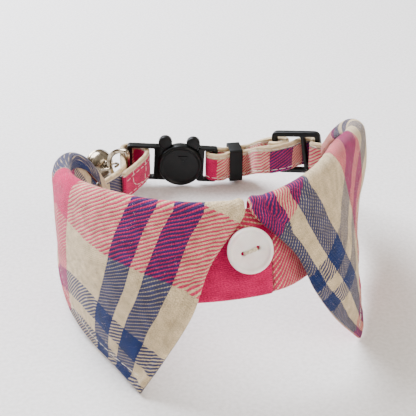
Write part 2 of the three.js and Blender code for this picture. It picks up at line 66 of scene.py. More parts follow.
# One row for each section of a side, from the front centre to the strap, as in the part: crest, foot
# of the band, hem of the leaf, how far the leaf swells out at its quarter, middle and three-quarter,
# and how far it bends back along the neck at its two quarters.
LEFT_SIDE = [
    ((-0.7, -43.8, 46.0), (-0.7, -50.5, 22.0), (-29.6, -54.9, 0.8), (2.4, 4.4, 3.6), (2.0, 0.2)),
    ((-12.9, -42.0, 45.8), (-14.5, -48.4, 21.8), (-31.8, -48.6, 0.8), (4.4, 6.0, 4.6), (0.6, 0)),
    ((-23.9, -36.5, 45.3), (-26.2, -41.6, 20.6), (-34.6, -40.6, 0.9), (4.0, 5.4, 4.0), (0, 0)),
    ((-32.4, -27.6, 43.9), (-34.4, -31.2, 18.6), (-38.8, -29.6, 1.0), (2.7, 3.6, 2.7), (0, 0)),
    ((-38.9, -12.6, 40.0), (-40.0, -14.6, 15.0), (-42.6, -15.0, 2.2), (1.2, 1.6, 1.2), (0, 0)),
    ((-40.9, 2.5, 36.0), (-41.4, 2.0, 11.4), (-43.6, 2.0, 4.6), (0.3, 0.4, 0.3), (0, 0)),
    ((-39.8, 13.8, 33.4), (-40.0, 13.6, 8.4), (-42.2, 14.4, 5.4), (0, 0.1, 0), (0, 0)),
    ((-37.1, 21.0, 31.0), (-37.2, 20.9, 6.6), (-39.4, 22.2, 5.6), (0, 0, 0), (0, 0)),
    ((-33.4, 25.9, 27.0), (-33.6, 26.0, 5.4), (-35.4, 27.6, 5.2), (0, 0, 0), (0, 0)),
    ((-30.2, 29.4, 21.2), (-30.2, 29.4, 4.6), (-32.0, 31.1, 4.8), (0, 0, 0), (0, 0)),
    ((-27.4, 32.8, 14.8), (-27.4, 32.8, 4.0), (-29.1, 34.4, 4.6), (0, 0, 0), (0, 0)),
]
RIGHT_SIDE = [
    ((0.4, -43.8, 46.2), (0.4, -50.5, 22.0), (32.0, -45.2, 0.8), (4.0, 5.4, 4.0), (2.6, -1.0)),
    ((7.4, -43.6, 47.6), (8.0, -49.6, 23.2), (33.4, -41.6, 1.2), (4.8, 6.4, 4.4), (1.8, -0.8)),
    ((14.6, -40.6, 48.6), (16.0, -46.0, 24.2), (34.6, -37.4, 1.8), (4.2, 5.4, 3.4), (0.9, -0.4)),
    ((22.4, -33.4, 48.6), (24.2, -37.4, 24.0), (36.8, -30.2, 2.8), (2.4, 2.4, 1.4), (0, 0)),
    ((31.1, -21.2, 48.0), (32.6, -23.4, 22.0), (40.2, -18.2, 4.2), (1.8, 0.9, 0.2), (0, 0)),
    ((38.8, -10.4, 46.0), (39.0, -10.8, 20.2), (43.6, -7.4, 5.8), (1.5, 0.4, 0), (0, 0)),
    ((43.8, 0.6, 42.8), (42.4, 0.6, 18.4), (45.6, 3.0, 7.6), (0.6, -0.6, -0.4), (0, 0)),
    ((45.2, 10.4, 38.2), (44.2, 10.4, 16.4), (46.6, 12.0, 9.8), (0.4, 0, 0), (0, 0)),
    ((44.8, 17.6, 32.4), (44.6, 17.6, 14.6), (46.8, 19.0, 11.6), (0, 0, 0), (0, 0)),
    ((44.2, 24.0, 24.6), (44.2, 24.0, 13.6), (46.4, 24.6, 13.2), (0, 0, 0), (0, 0)),
]
CREST, FOOT, HEM, OUT, SIDE = range(5)


# ------------------------------------------------------------------ curves and grids

def curve_points(points, runs):
    """Points on the centripetal Catmull-Rom curve through points, at runs from 0 to 1."""
    p = np.asarray(points, float)
    p = np.vstack([2 * p[0] - p[1], p, 2 * p[-1] - p[-2]])
    steps = np.maximum(np.linalg.norm(np.diff(p, axis=0), axis=1) ** 0.5, 1e-6)
    knots = np.concatenate([[0], np.cumsum(steps)])
    at = np.clip(np.asarray(runs, float) * (len(p) - 3), 0, len(p) - 3 - 1e-9)
    k = at.astype(int)
    t = knots[k + 1] + (at - k) * (knots[k + 2] - knots[k + 1])

    def blend(a, b, low, high):
        share = ((t - knots[k + low]) / (knots[k + high] - knots[k + low]))[:, None]
        return a * (1 - share) + b * share

    near = [blend(p[k + n], p[k + n + 1], n, n + 1) for n in range(3)]
    middle = [blend(near[n], near[n + 1], n, n + 2) for n in range(2)]
    return blend(middle[0], middle[1], 1, 2)


def column(side, name, runs):
    """A column of a side's table at runs; a column of plain numbers is joined row by row."""
    rows = [row[name] for row in side]
    if name in (CREST, FOOT, HEM):
        return curve_points(rows, runs)
    rows = np.asarray(rows, float)
    even = np.column_stack([np.arange(len(rows)) * 10.0, rows])
    return curve_points(even, runs)[:, 1:]


def run_lengths(points):
    return np.concatenate([[0], np.cumsum(np.linalg.norm(np.diff(points, axis=0), axis=1))])


def at_lengths(points, lengths):
    """The points of a dense curve at lengths along it."""
    run = run_lengths(points)
    return np.column_stack([np.interp(lengths, run, points[:, k]) for k in range(points.shape[1])])


def edge_steps(length, pitch, fine, margin):
    """Distances from 0 to length: fine ones within margin of both ends, and pitch between."""
    near = np.arange(0, margin, fine)
    far = length - near[::-1]
    count = max(2, int(round((length - 2 * margin) / pitch)))
    return np.concatenate([near, np.linspace(margin, length - margin, count), far])


def grid_normals(grid):
    along = np.gradient(grid, axis=0)
    across = np.gradient(grid, axis=1)
    normal = np.cross(along, across)
    return normal / np.maximum(np.linalg.norm(normal, axis=2, keepdims=True), 1e-9)


def flattened(grid, rounds=700):
    """The cloth's flat pattern: a place in the plane for each grid point, lengths kept."""
    rows, columns = grid.shape[:2]
    middle = columns // 3
    u = run_lengths(grid[:, middle])[:, None] * np.ones((1, columns))
    v = np.array([run_lengths(grid[i]) for i in range(rows)])
    flat = np.dstack([u, v])
    pairs = [(1, 0), (0, 1), (1, 1), (1, -1), (3, 0), (0, 3), (2, 2), (2, -2)]
    springs = []
    for di, dj in pairs:
        a = np.s_[: rows - di, max(0, -dj): columns - max(0, dj)]
        b = np.s_[di:, max(0, dj): columns + min(0, dj)]
        springs.append((a, b, np.linalg.norm(grid[b] - grid[a], axis=2)))
    for _ in range(rounds):
        move = np.zeros_like(flat)
        count = np.zeros((rows, columns, 1))
        for a, b, rest in springs:
            gap = flat[b] - flat[a]
            now = np.maximum(np.linalg.norm(gap, axis=2), 1e-9)
            pull = gap * ((now - rest) / now / 2)[:, :, None]
            move[a] += pull
            move[b] -= pull
            count[a] += 1
            count[b] += 1
        # A step a little longer than asked for settles sooner.
        flat += move / count * 1.6
    return flat


def resampled(coarse, old_i, old_j, new_i, new_j):
    """A coarse grid's values at finer places, by straight lines first one way, then the other."""
    first = np.array([[np.interp(new_i, old_i, coarse[:, j, k]) for k in range(coarse.shape[2])]
                      for j in range(coarse.shape[1])]).transpose(2, 0, 1)
    return np.array([[np.interp(new_j, old_j, first[i, :, k]) for k in range(coarse.shape[2])]
                     for i in range(first.shape[0])]).transpose(0, 2, 1)


# The leaves' cloth was eased into the bend of the neck from EASED_FROM back, over about EASED_OVER, and
# what was pulled askew at the point is straight again EASED_FADE before that.
EASED_FROM, EASED_OVER, EASED_FADE = 60.0, 20.0, 25.0
NO_PULL = (0.0, 1.0, 0.0, 0.0, 0.0)


def pattern_place(flat, cut, pull=NO_PULL):
    """Where the plaid lies on a piece. cut has a row for u and one for v: a start, the growth along and
    down the piece, and how far it bows back past EASED_FROM. pull is how the cloth was pulled askew
    towards its point: the depth where it begins, the depth it takes, the most that u and v swing, and
    how far back v swings about."""
    x, y = flat[..., 0], flat[..., 1]
    bend = np.clip(x - EASED_FROM, 0, None)
    bow = bend ** 2 / (1 + bend / EASED_OVER)
    place = np.dstack([start + along * x + down * y - eased * bow for start, along, down, eased in cut])
    begins, takes, most_u, most_v, about = pull
    below = np.clip(y - begins, 0, None)
    sideways = np.where(below < takes, below ** 2 / (2 * takes), below - takes / 2)
    swung = np.minimum(below / takes, 1) * (x - about)
    fade = np.clip((EASED_FROM - x) / EASED_FADE, 0, 1)
    return place + np.dstack([most_u * sideways * fade, most_v * swung * fade])


# ------------------------------------------------------------------ meshes

def in_scene(name, data):
    made = bpy.data.objects.new(name, data)
    bpy.context.scene.collection.objects.link(made)
    return made


def new_object(name, vertices, faces, material, uv):
    """A mesh object at the origin, its vertices given in the part's millimetres and uv for each."""
    mesh = bpy.data.meshes.new(name)
    placed = (np.asarray(vertices, float) + np.array(SHIFT)) * MM
    mesh.from_pydata(placed.tolist(), [], faces)
    layer = mesh.uv_layers.new(name="cloth")
    loops = np.zeros(len(mesh.loops), int)
    mesh.loops.foreach_get("vertex_index", loops)
    layer.data.foreach_set("uv", np.asarray(uv, float)[loops].ravel())
    mesh.polygons.foreach_set("use_smooth", [True] * len(mesh.polygons))
    mesh.materials.append(material)
    mesh.update()
    return in_scene(name, mesh)


def facing_out(vertices, faces):
    """The faces, turned round where the closed mesh's volume would be negative."""
    v = np.asarray(vertices, float)
    total = 0.0
    for face in faces:
        for k in range(1, len(face) - 1):
            total += np.dot(v[face[0]], np.cross(v[face[k]], v[face[k + 1]]))
    return faces if total > 0 else [face[::-1] for face in faces]


def shell(name, grid, half, uv, material, under=None):
    """A closed cloth shell: the grid's surface with half thickness to each side. uv is its cloth
    coordinates, and under those of its other side, where that is a layer cut from another place."""
    rows, columns = grid.shape[:2]
    normal = grid_normals(grid)
    outer = grid + normal * half[..., None]
    inner = grid - normal * half[..., None]
    vertices = np.vstack([outer.reshape(-1, 3), inner.reshape(-1, 3)])
    index = np.arange(rows * columns).reshape(rows, columns)
    a, b, c, d = (index[:-1, :-1].ravel(), index[1:, :-1].ravel(),
                  index[1:, 1:].ravel(), index[:-1, 1:].ravel())
    back = rows * columns
    faces = np.column_stack([a, b, c, d]).tolist()
    faces += (np.column_stack([d, c, b, a]) + back).tolist()
    rim = np.concatenate([index[:-1, 0], index[-1, :-1], index[:0:-1, -1], index[0, :0:-1]])
    ahead = np.roll(rim, -1)
    faces += np.column_stack([ahead, rim, rim + back, ahead + back]).tolist()
    both = np.vstack([uv.reshape(-1, 2), (uv if under is None else under).reshape(-1, 2)])
    return new_object(name, vertices, facing_out(vertices, faces), material, both)


def finish_piece(made, nodes):
    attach(made, "root")
    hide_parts(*nodes)


# ------------------------------------------------------------------ nodes

MATH, VECTOR_MATH, MIX = "ShaderNodeMath", "ShaderNodeVectorMath", "ShaderNodeMix"
NOISE, COLOUR_RAMP, MAP_RANGE = "ShaderNodeTexNoise", "ShaderNodeValToRGB", "ShaderNodeMapRange"


def linear(colour):
    """An sRGB hex colour, such as #c8235a, as linear red, green, blue and alpha."""
    parts = [int(colour[k:k + 2], 16) / 255 for k in (1, 3, 5)]
    return [c / 12.92 if c <= 0.04045 else ((c + 0.055) / 1.055) ** 2.4 for c in parts] + [1.0]


def add_node(tree, kind, *values, stops=(), **settings):
    """Adds a node. values fill its sockets in order; settings are properties, or sockets by name with _
    for a space. A value is a plain one, a hex colour, or a node or an output to link from. stops are a
    colour ramp's (position, colour) pairs."""
    node = tree.nodes.new(kind)
    for key in [key for key in settings if hasattr(node, key)]:
        setattr(node, key, settings.pop(key))
    sockets = [socket for socket in node.inputs if socket.enabled][:len(values)]
    sockets += [node.inputs[key.replace("_", " ")] for key in settings]
    for socket, value in zip(sockets, [*values, *settings.values()]):
        if isinstance(value, bpy.types.Node):
            value = next(output for output in value.outputs if output.enabled)
        if isinstance(value, bpy.types.NodeSocket):
            tree.links.new(value, socket)
        else:
            socket.default_value = linear(value) if isinstance(value, str) else value
    for k, (position, colour) in enumerate(stops):
        elements = node.color_ramp.elements
        element = elements[k] if k < 2 else elements.new(1.0)
        element.position = position
        element.color = linear(colour) if isinstance(colour, str) else [*colour, 1.0]
    return node


def new_material(name):
    """An empty material, and what adds a node to it."""
    material = bpy.data.materials.new(name)
    material.use_nodes = True
    material.node_tree.nodes.clear()
    return material, partial(add_node, material.node_tree)


# ------------------------------------------------------------------ materials

# The plaid's stripes, each a width in millimetres and a colour: along the warp and across it.
PINK, CREAM, NAVY = "#e81a69", "#f4deb4", "#122e6c"
WARP = [(20.0, PINK), (22.0, CREAM), (7.0, NAVY), (4.3, CREAM), (7.0, NAVY), (17.0, CREAM)]
WEFT = [(20.0, PINK), (17.0, CREAM), (7.0, NAVY), (4.3, CREAM), (7.0, NAVY), (17.0, CREAM)]
# The twill's ribs and the yarns in millimetres. Both are about twice as coarse as in real brushed
# cotton, so that they show.
TWILL_RIB, TWILL_SLOPE = 1.15, 0.7
YARN = 0.55


def stripes(add, sett, distance):
    """The colour of a plaid's stripes at a distance across them, in millimetres."""
    repeat = sum(width for width, _ in sett)
    starts = np.cumsum([0.0] + [width for width, _ in sett[:-1]]) / repeat
    share = add(MATH, add(MATH, distance, repeat, operation="DIVIDE"), operation="FRACT")
    stops = [(float(start), colour) for start, (_, colour) in zip(starts, sett)]
    node = add(COLOUR_RAMP, share, stops=stops)
    node.color_ramp.interpolation = "CONSTANT"
    return node


def plaid_twill():
    """Brushed cotton 2/2 twill, yarn dyed: diagonal ribs where two colours cross, and a soft nap."""
    material, add = new_material("Brushed cotton plaid twill")
    turn = 2 * math.pi
    place = add("ShaderNodeUVMap", uv_map="cloth")
    # The stripes sway a little, as the threads of worn cloth do.
    sway = add(NOISE, place, Scale=0.16, Detail=1.0).outputs["Color"]
    sway = add(VECTOR_MATH, sway, (0.5, 0.5, 0.5), operation="SUBTRACT")
    swayed = add(VECTOR_MATH, sway, (0.9, 0.9, 0), place, operation="MULTIPLY_ADD")
    u, v = add("ShaderNodeSeparateXYZ", swayed).outputs[:2]
    warp, weft = stripes(add, WARP, u), stripes(add, WEFT, v)
    # Ribs run slantwise, with fuzzy edges; the darker yarn's ribs are the wider ones.
    fuzz = add(NOISE, place, Scale=2.2, Detail=3.0)
    bend = add(MATH, fuzz, 0.8, -0.4, operation="MULTIPLY_ADD")
    ribs = add(MATH, v, TWILL_RIB, operation="DIVIDE")
    ribs = add(MATH, u, TWILL_SLOPE / TWILL_RIB, ribs, operation="MULTIPLY_ADD")
    wave = add(MATH, add(MATH, ribs, turn, bend, operation="MULTIPLY_ADD"), operation="SINE")
    ends, picks = (add(MATH, add(MATH, axis, turn / YARN, operation="MULTIPLY"), operation="SINE")
                   for axis in (u, v))
    light = [add(MATH, add("ShaderNodeRGBToBW", yarn), 0.5, operation="POWER") for yarn in (warp, weft)]
    spread = add(MATH, add(MATH, light[1], light[0], operation="SUBTRACT"), 0.3, operation="ADD")
    dashed = add(MATH, wave, spread, operation="SUBTRACT")
    dashed = add(MATH, ends, 0.24, dashed, operation="MULTIPLY_ADD")
    rib = add(MAP_RANGE, dashed, From_Min=-0.5, From_Max=0.5, interpolation_type="SMOOTHSTEP")
    crossed = add(MIX, rib, warp, weft, data_type="RGBA")
    nap = add(MIX, 0.14, crossed, add(MIX, 0.5, warp, weft, data_type="RGBA"), data_type="RGBA")
    # Painted shade: the pits between the yarns' turns are darkened in the colour, where shade falls in them.
    turns = add(MATH, picks, add(MATH, 1.0, rib, operation="SUBTRACT"), operation="MULTIPLY")
    turns = add(MATH, turns, add(MATH, ends, rib, operation="MULTIPLY"), operation="ADD")
    between = add(MAP_RANGE, turns, From_Min=-1.0, From_Max=0.2, To_Min=0.3, To_Max=0.0)
    worn = add(NOISE, place, Scale=0.35, Detail=4.0)
    tint = add(COLOUR_RAMP, worn, stops=[(0.3, "#c4bfba"), (0.7, "#ffffff")])
    fibre = add(NOISE, place, Scale=4.5, Detail=3.0)
    speck = add(COLOUR_RAMP, fibre, stops=[(0.28, "#a59d98"), (0.62, "#ffffff")])
    colour = add(MIX, 0.8, nap, tint, data_type="RGBA", blend_type="MULTIPLY")
    colour = add(MIX, 0.75, colour, speck, data_type="RGBA", blend_type="MULTIPLY")
    # Painted shade: up to this share of a dark brown is mixed in at the pits between the yarns.
    pit_shade = add(MIX, 0.6, colour, "#241418", data_type="RGBA")
    colour = add(MIX, between, colour, pit_shade, data_type="RGBA")
    relief = add(MATH, add(MATH, wave, operation="ABSOLUTE"), 0.9,
                 add(MATH, turns, 0.3, operation="MULTIPLY"), operation="MULTIPLY_ADD")
    height = add(MATH, fibre, 1.6, relief, operation="MULTIPLY_ADD")
    bump = add("ShaderNodeBump", Strength=0.7, Distance=0.14 * MM, Height=height)
    add("ShaderNodeOutputMaterial", add("ShaderNodeBsdfPrincipled", Base_Color=colour, Normal=bump,
                                        Roughness=0.92, Sheen_Weight=0.17, Sheen_Roughness=0.4,
                                        Specular_IOR_Level=0.2))
    return material


def grained(name, colour, rough=None, relief=None, **finish):
    """A material of one substance. colour is a noise's cells in a metre and detail, and the two tints
    that it wanders between; rough is how far the roughness follows that noise, and from where; relief is
    the cells, detail, strength and height of the grain that is raised on it."""
    material, add = new_material(name)
    place = add("ShaderNodeTexCoord").outputs["Object"]
    cells, detail, *stops = colour
    patches = add(NOISE, place, Scale=cells, Detail=detail)
    finish["Base Color"] = add(COLOUR_RAMP, patches, stops=stops)
    if rough:
        finish["Roughness"] = add(MATH, patches, *rough, operation="MULTIPLY_ADD")
    if relief:
        cells, detail, strength, height = relief
        grain = add(NOISE, place, Scale=cells, Detail=detail)
        finish["Normal"] = add("ShaderNodeBump", Strength=strength, Distance=height, Height=grain)
    add("ShaderNodeOutputMaterial", add("ShaderNodeBsdfPrincipled", **finish))
    return material


def sewing_cotton():
    """Mercerised cotton thread, twisted: white with a soft shine and fine slanting plies."""
    return grained("White sewing thread", (4000.0, 2.0, (0.3, "#cfc6b8"), (0.7, "#fbf6ec")),
                   relief=(4000.0, 2.0, 0.5, 0.08 * MM), Roughness=0.7, Sheen_Weight=0.2)


def raised_fibre():
    """Single cotton fibres of the brushed nap: pale, dull and faintly pink."""
    return grained("Raised cotton fibre", (150.0, 1.0, (0.35, "#cfaebb"), (0.65, "#ddd2c8")),
                   Roughness=0.9, Sheen_Weight=0.4)


def button_yarn():
    """Thick undyed cotton, three plies, as sewn through the button."""
    return grained("Cream button thread", (2500.0, 3.0, (0.3, "#b9a68c"), (0.7, "#efe3cd")),
                   relief=(2500.0, 3.0, 0.6, 0.1 * MM), Roughness=0.85, Sheen_Weight=0.2)


def polyester_button():
    """Moulded polyester, pearly white: smooth, a little see-through, with faint clouds in it."""
    return grained("Pearly white polyester", (260.0, 3.0, (0.35, "#eee0de"), (0.65, "#faf3f0")),
                   relief=(1500.0, 2.0, 0.12, 0.05 * MM), Roughness=0.33, IOR=1.55, Coat_Weight=0.25,
                   Coat_Roughness=0.15, Subsurface_Weight=0.25, Subsurface_Scale=1 * MM)


def moulded_acetal(name, roughness, colour):
    """Injection moulded black acetal: near black, semi-gloss, with a fine spark-eroded grain."""
    return grained(name, (320.0, 4.0, (0.35, colour), (0.75, "#101313")), rough=(0.2, roughness - 0.1),
                   relief=(2600.0, 3.0, 0.25, 0.06 * MM), IOR=1.48, Specular_IOR_Level=0.2)


def nickel_plate():
    """Bright nickel on steel: polished, with fine handling scratches. Its colour wanders between dark and
    light warm browns all over: a painted reflection of brown walls round it, darker than the plating's own
    colour.
    """
    # Painted reflection: the dark and light warm brown tints stand in for brown walls mirrored in the metal.
    return grained("Bright nickel plate", (500.0, 4.0, (0.3, "#4c4132"), (0.65, "#a89b86")),
                   rough=(0.22, 0.08), relief=(1800.0, 2.0, 0.15, 0.05 * MM), Metallic=1.0)


def floor_paint():
    """A plain pale tabletop with a fine grain."""
    return grained("Pale floor", (900.0, 3.0, (0.35, "#e3e1de"), (0.65, "#f1efed")), Roughness=0.8)


# ------------------------------------------------------------------ leaves and band

# Half the thickness of a leaf, apart from its edges.
LEAF_HALF = 0.65
# The leaf's roll over the band, from the seam inside to its shoulder: away from the neck, and down.
ROLL = ((-1.55, 4.0), (-1.6, 1.6), (-1.15, 0.3), (-0.2, -0.25), (0.9, 0.05), (2.15, 1.5))
# The turned edges lie double inside the leaf's rim, and the topstitch draws a groove SEAM_IN from it:
# height or depth, how far in, and spread.
SEAM_IN = 4.0
TURNED_EDGE = (0.42, 1.25, 0.95)
STITCH_GROOVE = (0.16, SEAM_IN, 0.45)
# The leaf's grid: the spacing along it, and of the places that its flat pattern is worked out for.
LEAF_PITCH = 0.62
UV_STEP = 6

# The plaid's place on each leaf, for pattern_place: from the seam at the front, back and down.
LEFT_CUT = ((67.0, -0.985, 0.174, 0.0), (-8.0, 0.174, 0.985, 0.055))
RIGHT_CUT = ((43.0, 1.12, -0.06, 0.0), (3.4, 0.74, 1.0, 0.0))
LEFT_PULL = (26.0, 8.0, 0.28, 0.28, 19.0)
RIGHT_PULL = (14.0, 22.0, -0.75, 0.0, 17.0)
# Past its widest place the left leaf's crest is faced with another strip of the plaid, cut so that a
# navy stripe runs along it: how far back the strip begins, how far down it reaches, and its cut.
LEFT_FACING = (67.5, 11.5, ((34.6, 0.06, 0.85, 0.0), (54.9, 0.0, -2.6, 0.0)))
# The lower layer of each leaf is cut from another place in the plaid, and shows along the turned edges.
UNDER_LEAF = (-35.0, 0.0)


def leaf_sections(side, turn):
    """Dense cross-sections of a leaf, each from its seam on the neck side, over the crest, to the hem."""
    count = 420
    runs = np.linspace(0, 1, count)
    crest, hem = column(side, CREST, runs), column(side, HEM, runs)
    out_by, side_by = column(side, OUT, runs), column(side, SIDE, runs)
    ahead = np.gradient(crest, axis=0)
    level = np.column_stack([ahead[:, 1] * turn, -ahead[:, 0] * turn, np.zeros(count)])
    level /= np.linalg.norm(level, axis=1, keepdims=True)
    back = np.column_stack([-level[:, 1] * turn, level[:, 0] * turn, np.zeros(count)])
    sections = []
    for i in range(count):
        def away(distance, drop):
            return crest[i] + level[i] * distance - np.array((0, 0, drop))
        roll = [away(distance, drop) for distance, drop in ROLL]
        shoulder = roll[-1]
        hang = [shoulder + (hem[i] - shoulder) * share + level[i] * out_by[i, k] + back[i] * aside
                for share, k, aside in ((0.25, 0, side_by[i, 0]), (0.5, 1, 0.0), (0.75, 2, side_by[i, 1]))]
        sections.append(curve_points([*roll, *hang, hem[i]], np.linspace(0, 1, 160)))
    return np.array(sections)


def rounded_edge(distance, most, radius, least):
    """The share of a cloth's thickness near its edge, up to most from it."""
    return np.sqrt(np.clip(1 - (1 - np.clip(distance, 0.0, most) / radius) ** 2, least, 1))


def ridge(distance, height, at, spread):
    return height * np.exp(-((distance - at) / spread) ** 2)


def wrinkled(u, v, seed):
    """Soft unevenness of worn cotton, in millimetres: broad waves and small crumples."""
    broad = noise.noise(Vector((u / 17 + seed, v / 22, seed)))
    small = noise.noise(Vector((u / 5.2, v / 6.5 + seed, 3.0 + seed)))
    return 0.55 * broad + 0.13 * small


def leaf_grid(side, turn, cut, pull, seed, facing=None):
    """A leaf's middle surface, half thickness and cloth coordinates, and its edge distances."""
    sections = leaf_sections(side, turn)
    downs = edge_steps(1.0, 0.011, 0.004, 0.06)
    rows = np.array([at_lengths(s, downs * run_lengths(s)[-1]) for s in sections])
    middle = rows[:, len(downs) // 2]
    total = run_lengths(middle)[-1]
    alongs = edge_steps(total, LEAF_PITCH, 0.25, 3.6)
    grid = np.array([at_lengths(rows[:, j], alongs / total * run_lengths(rows[:, j])[-1])
                     for j in range(len(downs))]).transpose(1, 0, 2)
    pick_i = np.unique(np.append(np.arange(0, len(alongs), UV_STEP), len(alongs) - 1))
    pick_j = np.unique(np.append(np.arange(0, len(downs), UV_STEP), len(downs) - 1))
    flat = flattened(grid[np.ix_(pick_i, pick_j)])
    flat = resampled(flat, pick_i, pick_j, np.arange(len(alongs)), np.arange(len(downs)))
    flat = flat - flat[0, 0]
    uv = pattern_place(flat, cut, pull)
    if facing:
        begins, reaches, facing_cut = facing
        faced = (flat[..., 0] > begins) & (flat[..., 1] < reaches)
        uv[faced] = pattern_place(flat, facing_cut)[faced]
    from_front = np.array([run_lengths(grid[:, j]) for j in range(grid.shape[1])]).T
    from_back = from_front[-1:] - from_front
    from_neck = np.array([run_lengths(grid[i]) for i in range(grid.shape[0])])
    from_hem = from_neck[:, -1:] - from_neck
    edge = np.minimum(from_front, from_hem)
    closed = np.minimum(np.minimum(edge, from_back), from_neck)
    half = LEAF_HALF + ridge(edge, *TURNED_EDGE) - ridge(edge, *STITCH_GROOVE)
    half *= rounded_edge(closed, 0.95, 1.0, 0.09)
    ripple = np.array([[wrinkled(uv[i, j, 0], uv[i, j, 1], seed) for j in range(grid.shape[1])]
                       for i in range(grid.shape[0])])
    # The waves die away over the roll and towards the front edge.
    calm = np.clip((from_neck - 7.0) / 8.0, 0, 1) * np.clip(from_front / 4.0, 0.25, 1)
    grid = grid + grid_normals(grid) * (ripple * calm)[..., None]
    return {"grid": grid, "half": half, "uv": uv, "front": from_front, "hem": from_hem}


# Half the band's thickness, and how far its top edge lies under the leaves' crest.
BAND_HALF = 0.75
BAND_DROP = 2.25
# The band is two strips: the left one, solid pink there, laps over the right one at the neck's front.
# There it stands proud and the right one is sunk, which fades away along the band.
LAP_AT = 5.3
LAP_PROUD, LAP_SUNK, LAP_FADES = 0.15, 0.4, 16.0
LAP_LEFT = ((0.8, -1.22, 0.1, 0.0), (-4.0, 0.259, 0.966, 0.0))
LAP_RIGHT = ((9.0, 0.94, -0.342, 0.0), (12.0, 0.342, 0.94, 0.0))


def band_grid():
    """The band's middle surface, half thickness and cloth coordinates, with the lap at the neck's front."""
    rows = LEFT_SIDE[:0:-1] + RIGHT_SIDE[1:]
    fine = np.linspace(0, 1, 2000)
    foot_line = column(rows, FOOT, fine)
    total = run_lengths(foot_line)[-1]
    ahead_of_neck = np.where(foot_line[:, 1] < 0, abs(foot_line[:, 0] - LAP_AT), 1e9)
    lap = fine[int(np.argmin(ahead_of_neck))]
    # Four columns close together make the lap's step.
    runs = np.linspace(0, 1, int(total / 0.8))
    runs = np.sort(np.concatenate([runs[abs(runs - lap) > 0.35 / total],
                                   lap + np.array((-0.3, -0.05, 0.05, 0.3)) / total]))
    crest, foot = column(rows, CREST, runs), column(rows, FOOT, runs)
    ahead = np.gradient(crest, runs, axis=0)
    ahead /= np.linalg.norm(ahead, axis=1, keepdims=True)
    crest = crest - np.array((0, 0, 1)) * (BAND_DROP / np.sqrt(1 - ahead[:, 2] ** 2))[:, None]
    shares = edge_steps(1.0, 0.035, 0.012, 0.06)
    grid = crest[:, None] * (1 - shares[None, :, None]) + foot[:, None] * shares[None, :, None]
    past = (runs - lap) * total
    fade = np.exp(-(past / LAP_FADES) ** 2)
    step = np.where(past < 0, LAP_PROUD, -LAP_SUNK) * fade
    grid = grid + (np.cross(ahead, (0, 0, 1.0)) * step[:, None])[:, None]
    down = np.array([run_lengths(row) for row in grid])
    flat = np.dstack([past[:, None] * np.ones((1, len(shares))), down])
    sides = [pattern_place(flat, side_cut) for side_cut in (LAP_LEFT, LAP_RIGHT)]
    uv = np.where((past < 0)[:, None, None], sides[0], sides[1])
    edge = np.minimum(down, down[:, -1:] - down)
    rounding = rounded_edge(edge, 0.75, 0.8, 0.09)
    rounding = rounding * np.where((past < 0) & (past > -0.2), 0.8, 1.0)[:, None]
    return grid, BAND_HALF * rounding, uv


# ------------------------------------------------------------------ straps

# The straps' centre lines, as in the part: rows are (fitting or None, x, y, z).
LEFT_STRAP = [
    (None, -27.2, 33.7, 9.2), (None, -24.0, 36.8, 9.2), (None, -20.8, 40.2, 9.2), (None, -18.6, 43.6, 9.3),
    ("buckle", -19.4, -5.6, 0), ("buckle", -19.5, -1.8, 0), ("buckle", -19.5, 1.5, 0),
    ("buckle", -17.3, 3.1, 0), ("buckle", -13.2, 2.7, 0), ("buckle", -11.2, 0.2, 0),
    ("buckle", -11.6, -4.0, 0), (None, -14.9, 43.4, 9.3), (None, -19.5, 38.2, 9.2),
]
RIGHT_STRAP = [
    (None, 44.0, 24.7, 19.0), ("slider", 6.9, -2.3, -0.5), ("slider", 5.0, -1.5, -0.5),
    ("slider", 4.8, 0.4, -0.5), ("slider", 4.4, 2.1, -0.5), ("slider", 2.5, 2.5, -0.5),
    ("slider", 0.3, 1.5, -0.5), ("slider", -2.6, -2.0, -0.6), ("slider", -7.2, -4.1, -0.9),
    ("slider", -12.5, -3.2, -1.8), ("keeper", 4.4, -2.0, 0.4), ("keeper", 0, -1.9, 0),
    ("keeper", -2.8, -2.2, 0), ("buckle", 14.4, -2.1, 0), ("buckle", 11.8, -2.5, 0),
    ("buckle", 9.6, -1.7, 0), ("buckle", 9.35, 0.6, 0), ("buckle", 10.6, 2.6, 0),
    ("buckle", 13.4, 2.7, 0), ("keeper", -3.0, 1.3, 0), ("keeper", 0, 1.7, 0), ("keeper", 4.6, 1.6, 0.4),
    ("slider", -13.0, 2.2, -1.4), ("slider", -7.4, 2.2, -0.5), ("slider", -4.4, 1.2, -0.5),
    ("slider", -4.4, -0.9, -0.5), ("slider", -6.8, -2.3, -0.5), ("slider", -9.4, -1.9, -0.5),
]
BUCKLE = {"left": -18.2, "body_left": -9.0, "body_right": 8.0, "right": 12.5, "overlap": 2.4, "height": 12.6,
          "slot": 10.8, "bar": 1.7, "thick": 2.8, "turn": -11.5, "lean": 3.2, "place": (1.8, 51.6, 8.6)}
HEAD = {"radius": 7.5, "thick": 3.6, "rim": 0.9, "dish": 0.5, "edge": 0.5, "forward": 1.2, "ear": 2.3,
        "ear_thick": 2.2, "ear_out": 9.1, "ear_angle": 59.0, "ear_shift": -0.7, "body_end": -3.7}
TONGUE = {"left": -3.1, "height": 8.6, "thick": 1.4, "back": 1.2, "neck": 2.6, "neck_thick": 1.2}
KEEPER = {"wide": 4.4, "tall": 11.8, "deep": 7.2, "wall": 0.6, "turn": -2.5, "lean": 0.0,
          "place": (20.3, 49.8, 7.8)}
SLIDER = {"long": 16.4, "tall": 14.6, "thick": 2.0, "bar": 1.7, "centre_bar": 1.3, "centre": 2.35,
          "corner": 2.2, "turn": -34.0, "lean": -9.0, "place": (37.2, 32.2, 18.4)}
STRAP_WIDTH = 10.0
# Half a strap's thickness, how far in its seams run, and their groove: depth, how far in, and spread.
STRAP_HALF = 0.72
STRAP_SEAM = 1.15
STRAP_GROOVE = (0.12, STRAP_SEAM, 0.35)


